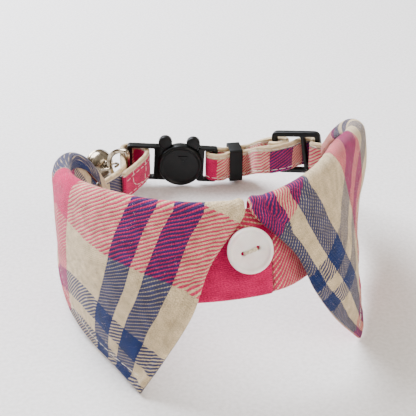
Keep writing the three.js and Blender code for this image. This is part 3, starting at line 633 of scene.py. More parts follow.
def fitting(values):
    """A fitting's own frame, in the part's millimetres: x along it, y away from the neck, z up."""
    return (Matrix.Translation(values["place"]) @ Matrix.Rotation(math.radians(values["turn"]), 4, "Z")
            @ Matrix.Rotation(math.radians(values.get("lean", 0.0)), 4, "Y"))


FITTINGS = {"buckle": fitting(BUCKLE), "keeper": fitting(KEEPER), "slider": fitting(SLIDER)}


def strap_points(rows):
    return [tuple(FITTINGS[on] @ Vector((x, y, z)) if on else Vector((x, y, z))) for on, x, y, z in rows]


# How each strap's cloth was cut: (length along the strap, where that lies in the stripes along it, and
# across it). Each strap's top edge is faced with a plain cream strip from FACING up, cut by
# FACING_CUT: where it starts in the stripes along it, its growth, and where it lies across it.
LEFT_STRAP_CUT = [(0, 50.5, 28.0), (24, 74.5, 28.0), (32, 77.8, 16.8), (56.3, 96.3, 16.8)]
RIGHT_STRAP_CUT = [(0, 36.6, 16.8), (27, 63.6, 16.8), (41, 65.0, 16.8), (103, 127.0, 16.8)]
FACING = 3.4
FACING_CUT = (63, 0.12, 28)
# How far each strap is sewn in between the band's layers.
SEWN_IN = 1.6
# The tacking shows on the face towards the neck, and all stitches lie sunk in the cloth by STITCH_SUNK.
TACKING_FACE = -1
STITCH_SUNK = 0.02
# The tacking on the left strap's turned-back end: (length along the strap, height from its middle).
TACKING = [[(43.4, 2.9), (43.1, 0.2), (43.9, -2.2), (43.5, -4.3)],
           [(51.6, 2.9), (51.9, 0.4), (50.4, -1.8), (47.2, -3.2), (44.0, -3.7)],
           [(37.6, 2.2), (42.5, 1.9), (48.0, 2.2), (54.6, 1.8)]]


def strap_grid(rows, cuts, seed):
    """A strap's middle surface, half thickness and cloth coordinates, its width standing upright."""
    dense = curve_points(strap_points(rows), np.linspace(0, 1, 3000))
    ahead = (dense[1] - dense[0]) / np.linalg.norm(dense[1] - dense[0])
    dense = np.vstack([dense[0] - ahead * SEWN_IN, dense])
    total = run_lengths(dense)[-1]
    alongs = np.linspace(0, total, int(total / 0.35))
    line = at_lengths(dense, alongs)
    alongs = alongs - SEWN_IN
    across = edge_steps(STRAP_WIDTH, 0.5, 0.12, 0.72) - STRAP_WIDTH / 2
    grid = line[:, None, :] + np.array((0, 0, 1.0)) * across[None, :, None]
    edge = STRAP_WIDTH / 2 - np.abs(across)
    section = (STRAP_HALF - ridge(edge, *STRAP_GROOVE)) * rounded_edge(edge, 0.7, 0.72, 0.12)
    half = np.ones((len(alongs), 1)) * section[None, :]
    u, v = (np.interp(alongs, [row[0] for row in cuts], [row[k] for row in cuts]) for k in (1, 2))
    uv = np.dstack([u[:, None] * np.ones((1, len(across))), v[:, None] + across[None, :]])
    faced = across > FACING
    every = np.ones((len(alongs), faced.sum()))
    start, growth, height = FACING_CUT
    uv[:, faced] = np.dstack([start + growth * alongs[:, None] * every, height + every * across[faced]])
    ripple = np.array([[0.1 * noise.noise(Vector((s / 2.3, a / 3.1, seed))) for a in across]
                       for s in alongs])
    grid = grid + grid_normals(grid) * ripple[..., None]
    return {"grid": grid, "half": half, "uv": uv, "across": across, "alongs": alongs}


# ------------------------------------------------------------------ stitches

def new_tree(name, taken, numbers, material, given):
    """A Geometry Nodes tree, what adds a node to it, and its inputs: a geometry, numbers, a material."""
    tree = bpy.data.node_groups.new(name, "GeometryNodeTree")
    for title, kind, default in [(taken, "Geometry", None), *((n, "Float", value) for n, value in numbers),
                                 (material, "Material", None)]:
        socket = tree.interface.new_socket(name=title, in_out="INPUT", socket_type=f"NodeSocket{kind}")
        if default is not None:
            socket.default_value = default
    tree.interface.new_socket(name=given, in_out="OUTPUT", socket_type="NodeSocketGeometry")
    add = partial(add_node, tree)
    return tree, add, add("NodeGroupInput").outputs


def stitch_tree():
    """Geometry Nodes: rows of thread stitches along edges. Each stitch is a rounded length of thread,
    centred on a point of its row; the stitches alternate with gaps and lie a little askew."""
    tree, add, given = new_tree("Topstitch", "Rows", [("Pitch", 2.4 * MM), ("Stitch Length", 1.8 * MM),
                                                      ("Thread Radius", 0.2 * MM), ("Askew", 0.08)],
                                "Thread", "Stitches")
    curve = add("GeometryNodeMeshToCurve", given["Rows"])
    spaced = add("GeometryNodeResampleCurve", mode="LENGTH", Curve=curve, Length=given["Pitch"])
    points = add("GeometryNodeCurveToPoints", mode="EVALUATED", Curve=spaced)
    bead = add("GeometryNodeMeshUVSphere", Segments=8, Rings=8, Radius=1.0)
    smooth = add("GeometryNodeSetShadeSmooth", bead)
    half = add(MATH, given["Stitch Length"], 0.5, operation="MULTIPLY")
    size = add("ShaderNodeCombineXYZ", given["Thread Radius"], given["Thread Radius"], half)
    shaped = add("GeometryNodeTransform", Geometry=smooth, Scale=size)
    low = add(MATH, given["Askew"], -1.0, operation="MULTIPLY")
    lean = add("FunctionNodeRandomValue", low, given["Askew"], data_type="FLOAT", Seed=7)
    turned = add("FunctionNodeRotateRotation", rotation_space="LOCAL", Rotation=points.outputs["Rotation"],
                 Rotate_By=add("ShaderNodeCombineXYZ", lean))
    placed = add("GeometryNodeInstanceOnPoints", Points=points, Instance=shaped, Rotation=turned)
    real = add("GeometryNodeRealizeInstances", placed)
    add("NodeGroupOutput", add("GeometryNodeSetMaterial", Geometry=real, Material=given["Thread"]))
    return tree


def nap_tree():
    """Geometry Nodes: short bent fibres standing off a brushed cloth, each leaning its own way."""
    tree, add, given = new_tree("Raised fibres", "Cloth", [("Density", 4e5), ("Fibre Length", 1 * MM),
                                                           ("Fibre Radius", 0.02 * MM), ("Bend", 0.4)],
                                "Fibre", "Fibres")
    roots = add("GeometryNodeDistributePointsOnFaces", Mesh=given["Cloth"], Density=given["Density"], Seed=5)
    top = add("ShaderNodeCombineXYZ", Z=given["Fibre Length"])
    knee = add(VECTOR_MATH, top, operation="SCALE", Scale=0.6)
    sag = add(MATH, given["Fibre Length"], given["Bend"], operation="MULTIPLY")
    tip = add("ShaderNodeCombineXYZ", X=sag, Z=given["Fibre Length"])
    line = add("GeometryNodeCurveQuadraticBezier", Resolution=3, Start=(0, 0, 0), Middle=knee, End=tip)
    ring = add("GeometryNodeCurvePrimitiveCircle", Resolution=3, Radius=given["Fibre Radius"])
    hair = add("GeometryNodeCurveToMesh", Curve=line, Profile_Curve=ring, Fill_Caps=True)
    smooth = add("GeometryNodeSetShadeSmooth", hair)
    tilt = add("FunctionNodeRandomValue", (-1.0, -1.0, 0.0), (1.0, 1.0, 6.28), data_type="FLOAT_VECTOR",
               Seed=9)
    turned = add("FunctionNodeRotateRotation", rotation_space="LOCAL", Rotation=roots.outputs["Rotation"],
                 Rotate_By=tilt)
    size = add("FunctionNodeRandomValue", 0.4, 1.2, data_type="FLOAT", Seed=3)
    placed = add("GeometryNodeInstanceOnPoints", Points=roots, Instance=smooth, Rotation=turned, Scale=size)
    real = add("GeometryNodeRealizeInstances", placed)
    add("NodeGroupOutput", add("GeometryNodeSetMaterial", Geometry=real, Material=given["Fibre"]))
    return tree


def made_plain(made):
    """Turns an object's modifiers into its mesh."""
    evaluated = made.evaluated_get(bpy.context.evaluated_depsgraph_get())
    mesh = bpy.data.meshes.new_from_object(evaluated)
    mesh.name = made.name
    made.modifiers.clear()
    old, made.data = made.data, mesh
    bpy.data.meshes.remove(old)
    return made


def with_tree(made, tree, values):
    """Gives an object a Geometry Nodes modifier with values by input name, and makes it plain."""
    modifier = made.modifiers.new(tree.name, "NODES")
    modifier.node_group = tree
    for item in tree.interface.items_tree:
        if item.item_type == "SOCKET" and item.in_out == "INPUT" and item.name in values:
            modifier[item.identifier] = values[item.name]
    return made_plain(made)


def stitch_rows(name, rows):
    """Stitches along rows of points, each row a list of places in the part's millimetres."""
    vertices, edges = [], []
    for row in rows:
        start = len(vertices)
        vertices += [((Vector(p) + SHIFT) * MM)[:] for p in row]
        edges += [(start + k, start + k + 1) for k in range(len(row) - 1)]
    mesh = bpy.data.meshes.new(name)
    mesh.from_pydata(vertices, edges, [])
    made = in_scene(name, mesh)
    cloth = bpy.context.scene.collar_cloth
    with_tree(made, bpy.data.node_groups.get("Topstitch") or stitch_tree(),
              {"Pitch": cloth.stitch_pitch, "Stitch Length": cloth.stitch_length,
               "Thread Radius": cloth.stitch_radius,
               "Thread": bpy.data.materials.get("White sewing thread") or sewing_cotton()})
    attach(made, "root")


def tacked(sheet, row):
    """Places along a tacking row on the strap's face towards the neck."""
    row = curve_points([Vector((*point, 0)) for point in row], np.linspace(0, 1, 60))
    path = [(int(np.argmin(abs(sheet["alongs"] - s))), int(np.argmin(abs(sheet["across"] - a))))
            for s, a, _ in row]
    return on_face(sheet, path, TACKING_FACE)


def raised_nap(name, sheet_piece):
    """Loose fibres standing off a cloth piece."""
    made = in_scene(name, sheet_piece.data.copy())
    cloth = bpy.context.scene.collar_cloth
    with_tree(made, bpy.data.node_groups.get("Raised fibres") or nap_tree(),
              {"Density": cloth.nap_density, "Fibre Length": cloth.nap_length,
               "Fibre Radius": cloth.nap_radius,
               "Fibre": bpy.data.materials.get("Raised cotton fibre") or raised_fibre()})
    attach(made, "root")


def on_face(sheet, path, side):
    """Places just under a sheet's face along path, a list of grid indices; side is 1 or -1."""
    normal = grid_normals(sheet["grid"])
    return [sheet["grid"][i, j] + normal[i, j] * side * (sheet["half"][i, j] - STITCH_SUNK)
            for i, j in path]


def hem_path(sheet, inset):
    """Grid indices that run inset from a leaf's hem, from as far inside its front edge to its end."""
    nearest = [(i, int(np.argmin(abs(row - inset)))) for i, row in enumerate(sheet["hem"])]
    return [(i, j) for i, j in nearest if sheet["front"][i, j] > inset]


# ------------------------------------------------------------------ hard shapes

def lathe(profile, segments):
    """A closed solid turned about Y from (radius, y) points that start and end on the axis."""
    vertices, faces, rings = [], [], []
    for radius, y in profile:
        if radius < 1e-6:
            rings.append([len(vertices)])
            vertices.append((0.0, y, 0.0))
            continue
        rings.append(list(range(len(vertices), len(vertices) + segments)))
        for k in range(segments):
            angle = 2 * math.pi * k / segments
            vertices.append((radius * math.cos(angle), y, radius * math.sin(angle)))
    for ring, after in zip(rings, rings[1:]):
        for k in range(segments):
            n = (k + 1) % segments
            quad = [ring[k % len(ring)], ring[n % len(ring)], after[n % len(after)], after[k % len(after)]]
            faces.append(list(dict.fromkeys(quad)))
    return vertices, facing_out(vertices, faces)


def round_corner(before, corner, after, radius, steps):
    """Points on the curve that rounds a corner between two others."""
    b, c, a = Vector(before), Vector(corner), Vector(after)
    reach = min(radius, (b - c).length / 2.01, (a - c).length / 2.01)
    start, end = c + (b - c).normalized() * reach, c + (a - c).normalized() * reach
    return [start * (1 - t) ** 2 + c * 2 * t * (1 - t) + end * t ** 2
            for t in (step / steps for step in range(steps + 1))]


def softened(profile, radius):
    """A (radius, y) profile with its corners rounded; the first and last points stay."""
    points = [profile[0]]
    for before, corner, after in zip(profile, profile[1:], profile[2:]):
        points += [tuple(point) for point in round_corner(before, corner, after, radius, 4)]
    return points + [profile[-1]]


def rimmed_profile(radius, thick, rim, dish, edge):
    """Half the section of a disc with a raised rim round its sunk front."""
    front = thick / 2
    corners = [(0, -front), (radius - edge, -front), (radius, -front + edge), (radius, front - edge),
               (radius - edge, front), (radius - rim, front), (radius - rim - dish, front - dish),
               (0, front - dish)]
    return softened(corners, 0.35)


def rounded(corners, radius):
    """A closed outline of (x, z) corners, each rounded by radius."""
    after = corners[1:] + corners[:1]
    before = corners[-1:] + corners[:-1]
    return [point for b, c, a in zip(before, corners, after) for point in round_corner(b, c, a, radius, 6)]


def box_outline(x0, z0, x1, z1, radius):
    return rounded([(x0, z0), (x1, z0), (x1, z1), (x0, z1)], radius)


def circle_outline(x, z, radius, steps=48):
    turns = [k * 2 * math.pi / steps for k in range(steps)]
    return [Vector((x + radius * math.cos(turn), z + radius * math.sin(turn))) for turn in turns]


def plate(outlines, thick, bevel, y=0.0):
    """A plate with rounded edges: outlines in x and z, the first outside and the rest holes."""
    curve = bpy.data.curves.new("plate", "CURVE")
    curve.dimensions = "2D"
    curve.fill_mode = "BOTH"
    curve.extrude = thick / 2 - bevel
    curve.bevel_depth = bevel
    curve.bevel_resolution = 3
    curve.offset = -bevel
    for outline in outlines:
        spline = curve.splines.new("POLY")
        spline.points.add(len(outline) - 1)
        for point, corner in zip(spline.points, outline):
            point.co = (corner.x, corner.y, 0, 1)
        spline.use_cyclic_u = True
    holder = in_scene("plate", curve)
    mesh = bpy.data.meshes.new_from_object(holder.evaluated_get(bpy.context.evaluated_depsgraph_get()))
    bpy.data.objects.remove(holder)
    bpy.data.curves.remove(curve)
    mesh.transform(Matrix.Translation((0, y, 0)) @ Matrix.Rotation(math.pi / 2, 4, "X"))
    return mesh


def mesh_of(vertices, faces, place=Matrix()):
    mesh = bpy.data.meshes.new("part")
    mesh.from_pydata([tuple(place @ Vector(v)) for v in vertices], [], faces)
    return mesh


def wire(path, radius, sides=16, closed=True):
    """A round wire along a path of points, with rounded ends where it is open."""
    points = [Vector(p) for p in path]
    count = len(points)
    vertices, faces, rings = [], [], []
    side = None
    for k, p in enumerate(points):
        ahead = points[(k + 1) % count] - points[k - 1] if closed else (
            points[min(k + 1, count - 1)] - points[max(k - 1, 0)])
        ahead.normalize()
        if side is None:
            side = ahead.orthogonal().normalized()
        side = (side - ahead * side.dot(ahead)).normalized()
        across = ahead.cross(side)
        small = radius * (1.0 if closed else min(1.0, 0.35 + 0.65 * min(k, count - 1 - k)))
        rings.append([len(vertices) + n for n in range(sides)])
        for n in range(sides):
            angle = 2 * math.pi * n / sides
            vertices.append(p + (side * math.cos(angle) + across * math.sin(angle)) * small)
    pairs = list(zip(rings, rings[1:] + rings[:1])) if closed else list(zip(rings, rings[1:]))
    for ring, after in pairs:
        if closed and after is rings[0]:
            shift = min(range(sides), key=lambda n: (vertices[ring[0]] - vertices[after[n]]).length)
            after = after[shift:] + after[:shift]
        faces += [[ring[n], ring[(n + 1) % sides], after[(n + 1) % sides], after[n]] for n in range(sides)]
    if not closed:
        faces += [rings[0][::-1], rings[-1]]
    flat = [tuple(v) for v in vertices]
    return flat, facing_out(flat, faces)


def joined(name, meshes, place, material, smooth_angle=40.0):
    """One object from several meshes, put in their place in the frame, shaded smooth but for edges."""
    build = bmesh.new()
    for mesh in meshes:
        build.from_mesh(mesh)
        bpy.data.meshes.remove(mesh)
    bmesh.ops.transform(build, matrix=Matrix.Scale(MM, 4) @ Matrix.Translation(SHIFT) @ place,
                        verts=build.verts)
    bmesh.ops.remove_doubles(build, verts=build.verts, dist=1e-7)
    mesh = bpy.data.meshes.new(name)
    build.to_mesh(mesh)
    build.free()
    mesh.materials.clear()
    mesh.materials.append(material)
    for polygon in mesh.polygons:
        polygon.use_smooth = True
        polygon.material_index = 0
    mesh.set_sharp_from_angle(angle=math.radians(smooth_angle))
    return in_scene(name, mesh)


def cut(mesh, cutters):
    """A mesh less each cutter, by an exact boolean."""
    holder = in_scene("body", mesh)
    others = [in_scene("cutter", cutter) for cutter in cutters]
    for other in others:
        modifier = holder.modifiers.new("cut", "BOOLEAN")
        modifier.operation, modifier.solver, modifier.object = "DIFFERENCE", "EXACT", other
    made_plain(holder)
    result = holder.data
    for spent in (holder, *others):
        bpy.data.objects.remove(spent)
    for cutter in cutters:
        bpy.data.meshes.remove(cutter)
    return result


# ------------------------------------------------------------------ button, buckle, metal

BUTTON = {"radius": 5.75, "thick": 2.2, "rim": 0.9, "dish": 0.5, "edge": 0.5, "hole": 0.58, "flare": 0.3,
          "spacing": 1.97, "tilt": 24.0, "turn": 15.0, "place": (-0.7, -50.7, 36.7)}
D_RING = {"wire": 0.8, "straight": 13.6, "reach": 8.5, "turn": 130.0, "place": (-16.7, 47.9, 9.6)}
JUMP_RING = {"radius": 2.9, "wire": 0.4}
BELL = {"radius": 5.0, "wall": 0.45, "slot": 0.9, "slot_hole": 0.9, "slot_reach": 0.72, "eye": 1.5,
        "eye_wire": 0.45, "eye_sink": 0.35, "belt": 0.22, "belt_spread": 3.2, "flat": 0.12,
        "place": (-24.6, 63.8, 5.0)}
# The small gap that pieces keep, as in the part.
GAP = 0.3
# The strands of the button's thread: how far each lies to the side, and how far it stands out.
STRANDS = ((-0.3, 0.0), (-0.1, 0.1), (0.12, 0.08), (0.32, 0.0))
STRAND_RADIUS = 0.14
# The nose on the buckle's head, and how deep it stands.
NOSE = ((-1.1, 3.7), (0.7, 1.8), (2.5, 3.7))
NOSE_DEEP = 0.5


def button_place():
    return (Matrix.Translation(BUTTON["place"]) @ Matrix.Rotation(math.radians(180 - BUTTON["tilt"]), 4, "X")
            @ Matrix.Rotation(math.radians(BUTTON["turn"]), 4, "Y"))


def button_meshes():
    """A dished disc with a raised rim and two holes, flared at the front."""
    b = BUTTON
    front = b["thick"] / 2 - b["dish"]
    body = mesh_of(*lathe(rimmed_profile(b["radius"], b["thick"], b["rim"], b["dish"], b["edge"]), 128))
    drills = []
    for side in (-1, 1):
        profile = [(0, -2), (b["hole"], -2), (b["hole"], front - 0.2),
                   (b["hole"] + b["flare"], front + 0.1), (b["hole"] + b["flare"], 2), (0, 2)]
        drills.append(mesh_of(*lathe(profile, 32), Matrix.Translation((side * b["spacing"], 0, 0))))
    return [cut(body, drills)]


def button_thread_meshes():
    """Four strands side by side, each a little bowed, their ends against the holes' inner sides."""
    front = BUTTON["thick"] / 2 - BUTTON["dish"] + 0.2
    spacing = BUTTON["spacing"] - BUTTON["hole"] + 0.2
    meshes = []
    for k, (aside, rise) in enumerate(STRANDS):
        path = [(-spacing, -1.0, aside * 0.5), (-spacing, front - 0.5, aside * 0.6),
                (-spacing + 0.25, front + rise, aside * 0.8), (0, front + 0.12 + rise, aside),
                (spacing - 0.25, front + rise, aside * 0.8 + 0.05 * k - 0.08),
                (spacing, front - 0.5, aside * 0.6), (spacing, -1.0, aside * 0.5)]
        strand = wire(curve_points(path, np.linspace(0, 1, 40)), STRAND_RADIUS, 10, False)
        meshes.append(mesh_of(*strand))
    return meshes


def slotted_end(outer, middle):
    """One end of the buckle: a flat loop round the slot that the strap goes through."""
    b = BUCKLE
    inward = 1 if middle > outer else -1
    xs = sorted((outer, middle + inward * b["overlap"]))
    hole = sorted((outer + inward * b["bar"], middle))
    high, slot = b["height"] / 2, b["slot"] / 2
    return plate([box_outline(xs[0], -high, xs[1], high, 1.1),
                  box_outline(hole[0], -slot, hole[1], slot, 0.5)], b["thick"], 0.35)


def buckle_head_meshes():
    """The buckle's left half: a round head with a raised rim, a small nose and two ears, on a flat body."""
    h, b = HEAD, BUCKLE
    disc = mesh_of(*lathe(rimmed_profile(h["radius"], h["thick"], h["rim"], h["dish"], h["edge"]), 128),
                   Matrix.Translation((0, -h["forward"], 0)) @ Matrix.Rotation(math.pi, 4, "X"))
    meshes = [disc, slotted_end(b["left"], b["body_left"])]
    angle = math.radians(h["ear_angle"])
    for side in (-1, 1):
        x = h["ear_shift"] + side * h["ear_out"] * math.cos(angle)
        ear = circle_outline(x, h["ear_out"] * math.sin(angle), h["ear"])
        meshes.append(plate([ear], h["ear_thick"], 0.4, -h["forward"] / 2))
    high = b["height"] / 2
    meshes.append(plate([box_outline(b["body_left"], -high, h["body_end"], high, 0.6)], b["thick"], 0.3))
    meshes.append(plate([rounded(NOSE, 0.45)], NOSE_DEEP, 0.12, h["dish"] - h["forward"] - h["thick"] / 2))
    return meshes


def buckle_plug_meshes():
    """The buckle's right half, with the tongue that goes in behind the head."""
    b, t = BUCKLE, TONGUE
    high, low = b["height"] / 2, t["height"] / 2
    neck = plate([box_outline(b["body_right"] - t["neck"], -high, b["body_right"], high, 0.5)],
                 t["neck_thick"], 0.25, (b["thick"] - t["neck_thick"]) / 2)
    tongue = plate([box_outline(t["left"], -low, b["body_right"], low, 0.4)], t["thick"], 0.25, t["back"])
    return [slotted_end(b["right"], b["body_right"]), neck, tongue]


def keeper_meshes():
    """A thin square loop round the strap's two layers."""
    k = KEEPER
    x, z, w = k["deep"] / 2, k["tall"] / 2, k["wall"]
    loop = plate([box_outline(-x, -z, x, z, 1.0), box_outline(-x + w, -z + w, x - w, z - w, 0.6)],
                 k["wide"], 0.2)
    loop.transform(Matrix.Rotation(math.pi / 2, 4, "Z"))
    return [loop]


def slider_meshes():
    """A flat frame with a bar across it, off the middle, that the strap is threaded over."""
    s = SLIDER
    x, z, high = s["long"] / 2, s["tall"] / 2, s["tall"] / 2 - s["bar"]
    outlines = [box_outline(-x, -z, x, z, s["corner"])]
    for side in (-1, 1):
        inner, outer = s["centre"] + side * s["centre_bar"] / 2, side * (x - s["bar"])
        outlines.append(box_outline(min(inner, outer), -high, max(inner, outer), high, 0.6))
    return [plate(outlines, s["thick"], 0.45)]


def d_ring_meshes():
    """The ring's round side is half an ellipse; its straight side has tight round corners."""
    half = D_RING["straight"] / 2
    path = [(D_RING["reach"] * math.cos(a), 0, half * math.sin(a))
            for a in np.linspace(-math.pi / 2, math.pi / 2, 60)[1:-1]]
    corner = [(0.25, 0, half - 0.05), (0.02, 0, half - 0.7)]
    straight = [(0, 0, z) for z in np.linspace(half - 1.4, -half + 1.4, 24)]
    path += corner + straight + [(x, y, -z) for x, y, z in reversed(corner)]
    return [mesh_of(*wire(path, D_RING["wire"], 20))]


def ring_path(radius, start=0.0, end=2 * math.pi, count=72, closed=True):
    return [(radius * math.cos(a), radius * math.sin(a), 0)
            for a in np.linspace(start, end, count, endpoint=not closed)]


def bell_frames():
    """Where the bell and the jump ring stand: the bell's eye looks to the D ring's round side."""
    ring = fitting(D_RING)
    inside = ring @ Vector((D_RING["reach"] - D_RING["wire"] - JUMP_RING["wire"] - 2.5 * GAP, 0, -1))
    centre = Vector(BELL["place"])
    eye_axis = (inside - centre).normalized()
    eye = centre + eye_axis * (BELL["radius"] + BELL["eye"] - BELL["eye_sink"])
    link_axis = (inside - eye).normalized()
    ring_normal = ring.to_3x3() @ Vector((0, 1, 0))
    link_normal = link_axis.cross(ring_normal).normalized()

    def turned(place, x_axis, z_axis):
        y_axis = z_axis.cross(x_axis).normalized()
        basis = Matrix((y_axis.cross(z_axis), y_axis, z_axis)).transposed()
        return Matrix.Translation(place) @ basis.to_4x4()

    return turned(centre, link_normal, eye_axis), turned((eye + inside) / 2, link_axis, link_normal)


def bell_meshes():
    """A pressed ball of two halves with a crimped belt, a crossed slot below and a wire eye above."""
    b = BELL
    radius, wall = b["radius"], b["wall"]
    outside = []
    for angle in np.linspace(-math.pi / 2, math.pi / 2, 61):
        belt = b["belt"] * math.exp(-(math.degrees(angle) / b["belt_spread"]) ** 2)
        outside.append(((radius - b["belt"] + belt) * math.cos(angle),
                        (radius - b["flat"]) * math.sin(angle)))
    inside = [((radius - wall) * math.cos(a), (radius - wall) * math.sin(a))
              for a in np.linspace(math.pi / 2, -math.pi / 2, 41)]
    upright = Matrix.Rotation(math.pi / 2, 4, "X")
    ball, hollow = (
        mesh_of(*lathe([(abs(r) if abs(r) > 1e-4 else 0, y) for r, y in profile], sides), upright)
        for profile, sides in ((outside, 96), (inside, 64)))
    cutters = [hollow]
    for turn in (0, math.pi / 2):
        spin = Matrix.Rotation(turn, 4, "Z")
        reach = radius * b["slot_reach"]
        slot = box_outline(-reach, -b["slot"] / 2, reach, b["slot"] / 2, 0.1)
        low = plate([slot], radius, 0.02)
        low.transform(spin @ Matrix.Translation((0, 0, -radius)) @ upright)
        cutters.append(low)
        for side in (-1, 1):
            profile = [(0, -radius / 2), (b["slot_hole"], -radius / 2), (b["slot_hole"], radius / 2),
                       (0, radius / 2)]
            place = spin @ Matrix.Translation((side * reach, 0, -radius)) @ upright
            cutters.append(mesh_of(*lathe(profile, 32), place))
    eye = Matrix.Translation((0, 0, radius + b["eye"] - b["eye_sink"])) @ upright
    loop = mesh_of(*wire(ring_path(b["eye"]), b["eye_wire"], 16), eye)
    return [cut(ball, cutters), loop]


# ------------------------------------------------------------------ settings

LENGTH = {"unit": "LENGTH", "subtype": "DISTANCE"}
SHARE = {"min": 0, "max": 1, "subtype": "FACTOR"}


class CollarCloth(bpy.types.PropertyGroup):
    stitch_pitch: FloatProperty(name="Stitch pitch", description="From one topstitch to the next",
                                default=2.6 * MM, min=0.5 * MM, **LENGTH)
    stitch_length: FloatProperty(name="Stitch length", description="The thread that shows of one topstitch",
                                 default=2.3 * MM, min=0.2 * MM, **LENGTH)
    stitch_radius: FloatProperty(name="Thread radius", description="Half the topstitch thread's thickness",
                                 default=0.13 * MM, min=0.05 * MM, **LENGTH)
    nap_density: FloatProperty(name="Nap density", description="Raised fibres on a square metre of cloth",
                               default=2.6e5, min=0)
    nap_length: FloatProperty(name="Nap length", description="Length of a raised fibre",
                              default=0.9 * MM, min=0.1 * MM, **LENGTH)
    nap_radius: FloatProperty(name="Nap thickness", description="Half the thickness of a raised fibre",
                              default=0.008 * MM, min=0.002 * MM, **LENGTH)


class CollarFittings(bpy.types.PropertyGroup):
    plastic: FloatVectorProperty(name="Plastic", description="Colour of the buckle, keeper and slider",
                                 default=linear("#050707")[:3], size=3, min=0, max=1, subtype="COLOR")
    buckle_roughness: FloatProperty(name="Buckle roughness", description="How dull the buckle's surface is",
                                    default=0.34, **SHARE)
    keeper_roughness: FloatProperty(name="Keeper roughness", description="How dull the keeper's surface is",
                                    default=0.5, **SHARE)


class CollarStage(bpy.types.PropertyGroup):
    camera_turn: FloatProperty(name="Camera turn", description="Turn of the camera round the collar",
                               default=math.radians(-12.5), unit="ROTATION", subtype="ANGLE")
    camera_rise: FloatProperty(name="Camera rise", description="Angle of the camera above the table",
                               default=math.radians(30.0), unit="ROTATION", subtype="ANGLE")
    camera_distance: FloatProperty(name="Camera distance", default=0.3, min=0.05,
                                   description="From the camera to the collar's middle", **LENGTH)
    lens: FloatProperty(name="Lens", description="Focal length on a 36 mm sensor", default=88.7, min=10,
                        unit="CAMERA")
    window_power: FloatProperty(name="Window power", description="Power of the large light behind, in watts",
                                default=18.5, min=0)
    fill_power: FloatProperty(name="Fill power", description="Power of the soft light in front, in watts",
                              default=4.5, min=0)
    room: FloatProperty(name="Room light", description="Strength of the light from all round", default=0.75,
                        min=0)


# ------------------------------------------------------------------ operators

def cloth_material():
    return bpy.data.materials.get("Brushed cotton plaid twill") or plaid_twill()


class COLLAR_OT_band(bpy.types.Operator):
    """Makes the neck band"""
    bl_idname = "collar.band"
    bl_label = "Neck band"

    def execute(self, context):
        grid, half, uv = band_grid()
        made = shell("neck_band_cloth", grid, half, uv, cloth_material())
        finish_piece(made, ["neck_band"])
        return {"FINISHED"}


class COLLAR_OT_leaves(bpy.types.Operator):
    """Makes the two collar leaves, folded over the band, with their topstitching"""
    bl_idname = "collar.leaves"
    bl_label = "Collar leaves"

    def execute(self, context):
        for word, side, turn, plaid_cut, pull, facing, seed in (
                ("left", LEFT_SIDE, -1, LEFT_CUT, LEFT_PULL, LEFT_FACING, 2.0),
                ("right", RIGHT_SIDE, 1, RIGHT_CUT, RIGHT_PULL, None, 7.0)):
            sheet = leaf_grid(side, turn, plaid_cut, pull, seed, facing)
            layers = [sheet["uv"], sheet["uv"] + UNDER_LEAF][::-turn]
            made = shell(f"{word}_leaf_cloth", sheet["grid"], sheet["half"], layers[0], cloth_material(),
                         layers[1])
            finish_piece(made, [f"{word}_leaf"])
            stitch_rows(f"{word}_leaf_stitches", [on_face(sheet, hem_path(sheet, SEAM_IN), -turn)])
            raised_nap(f"{word}_leaf_nap", made)
        return {"FINISHED"}


class COLLAR_OT_straps(bpy.types.Operator):
    """Makes the two folded straps with their rows of stitching"""
    bl_idname = "collar.straps"
    bl_label = "Straps"

    def execute(self, context):
        for word, rows, cuts, seed in (("left", LEFT_STRAP, LEFT_STRAP_CUT, 11.0),
                                       ("right", RIGHT_STRAP, RIGHT_STRAP_CUT, 17.0)):
            sheet = strap_grid(rows, cuts, seed)
            made = shell(f"{word}_strap_cloth", sheet["grid"], sheet["half"], sheet["uv"], cloth_material())
            finish_piece(made, [f"{word}_strap"])
            lines = []
            for level in (STRAP_WIDTH / 2 - STRAP_SEAM, STRAP_SEAM - STRAP_WIDTH / 2):
                j = int(np.argmin(abs(sheet["across"] - level)))
                path = [(i, j) for i in range(0, len(sheet["alongs"]), 2)]
                lines += [on_face(sheet, path, face) for face in (1, -1)]
            if word == "left":
                lines += [tacked(sheet, row) for row in TACKING]
            stitch_rows(f"{word}_strap_stitches", lines)
        return {"FINISHED"}


class COLLAR_OT_button(bpy.types.Operator):
    """Makes the button and its thread"""
    bl_idname = "collar.button"
    bl_label = "Button"

    def execute(self, context):
        place = button_place()
        made = joined("button_moulded", button_meshes(), place, polyester_button(), 50)
        finish_piece(made, ["button"])
        made = joined("button_yarn", button_thread_meshes(), place, button_yarn(), 60)
        finish_piece(made, ["button_thread"])
        return {"FINISHED"}


class COLLAR_OT_fittings(bpy.types.Operator):
    """Makes the breakaway buckle, the keeper and the slider"""
    bl_idname = "collar.fittings"
    bl_label = "Buckle, keeper and slider"

    def execute(self, context):
        values = context.scene.collar_fittings
        gloss = moulded_acetal("Black acetal, polished mould", values.buckle_roughness, values.plastic)
        matt = moulded_acetal("Black acetal, grained mould", values.keeper_roughness, values.plastic)
        for name, meshes, where, look in (
                ("buckle_head", buckle_head_meshes(), "buckle", gloss),
                ("buckle_plug", buckle_plug_meshes(), "buckle", gloss),
                ("keeper", keeper_meshes(), "keeper", matt),
                ("slider", slider_meshes(), "slider", gloss)):
            made = joined(f"{name}_moulded", meshes, FITTINGS[where], look)
            finish_piece(made, [name])
        return {"FINISHED"}


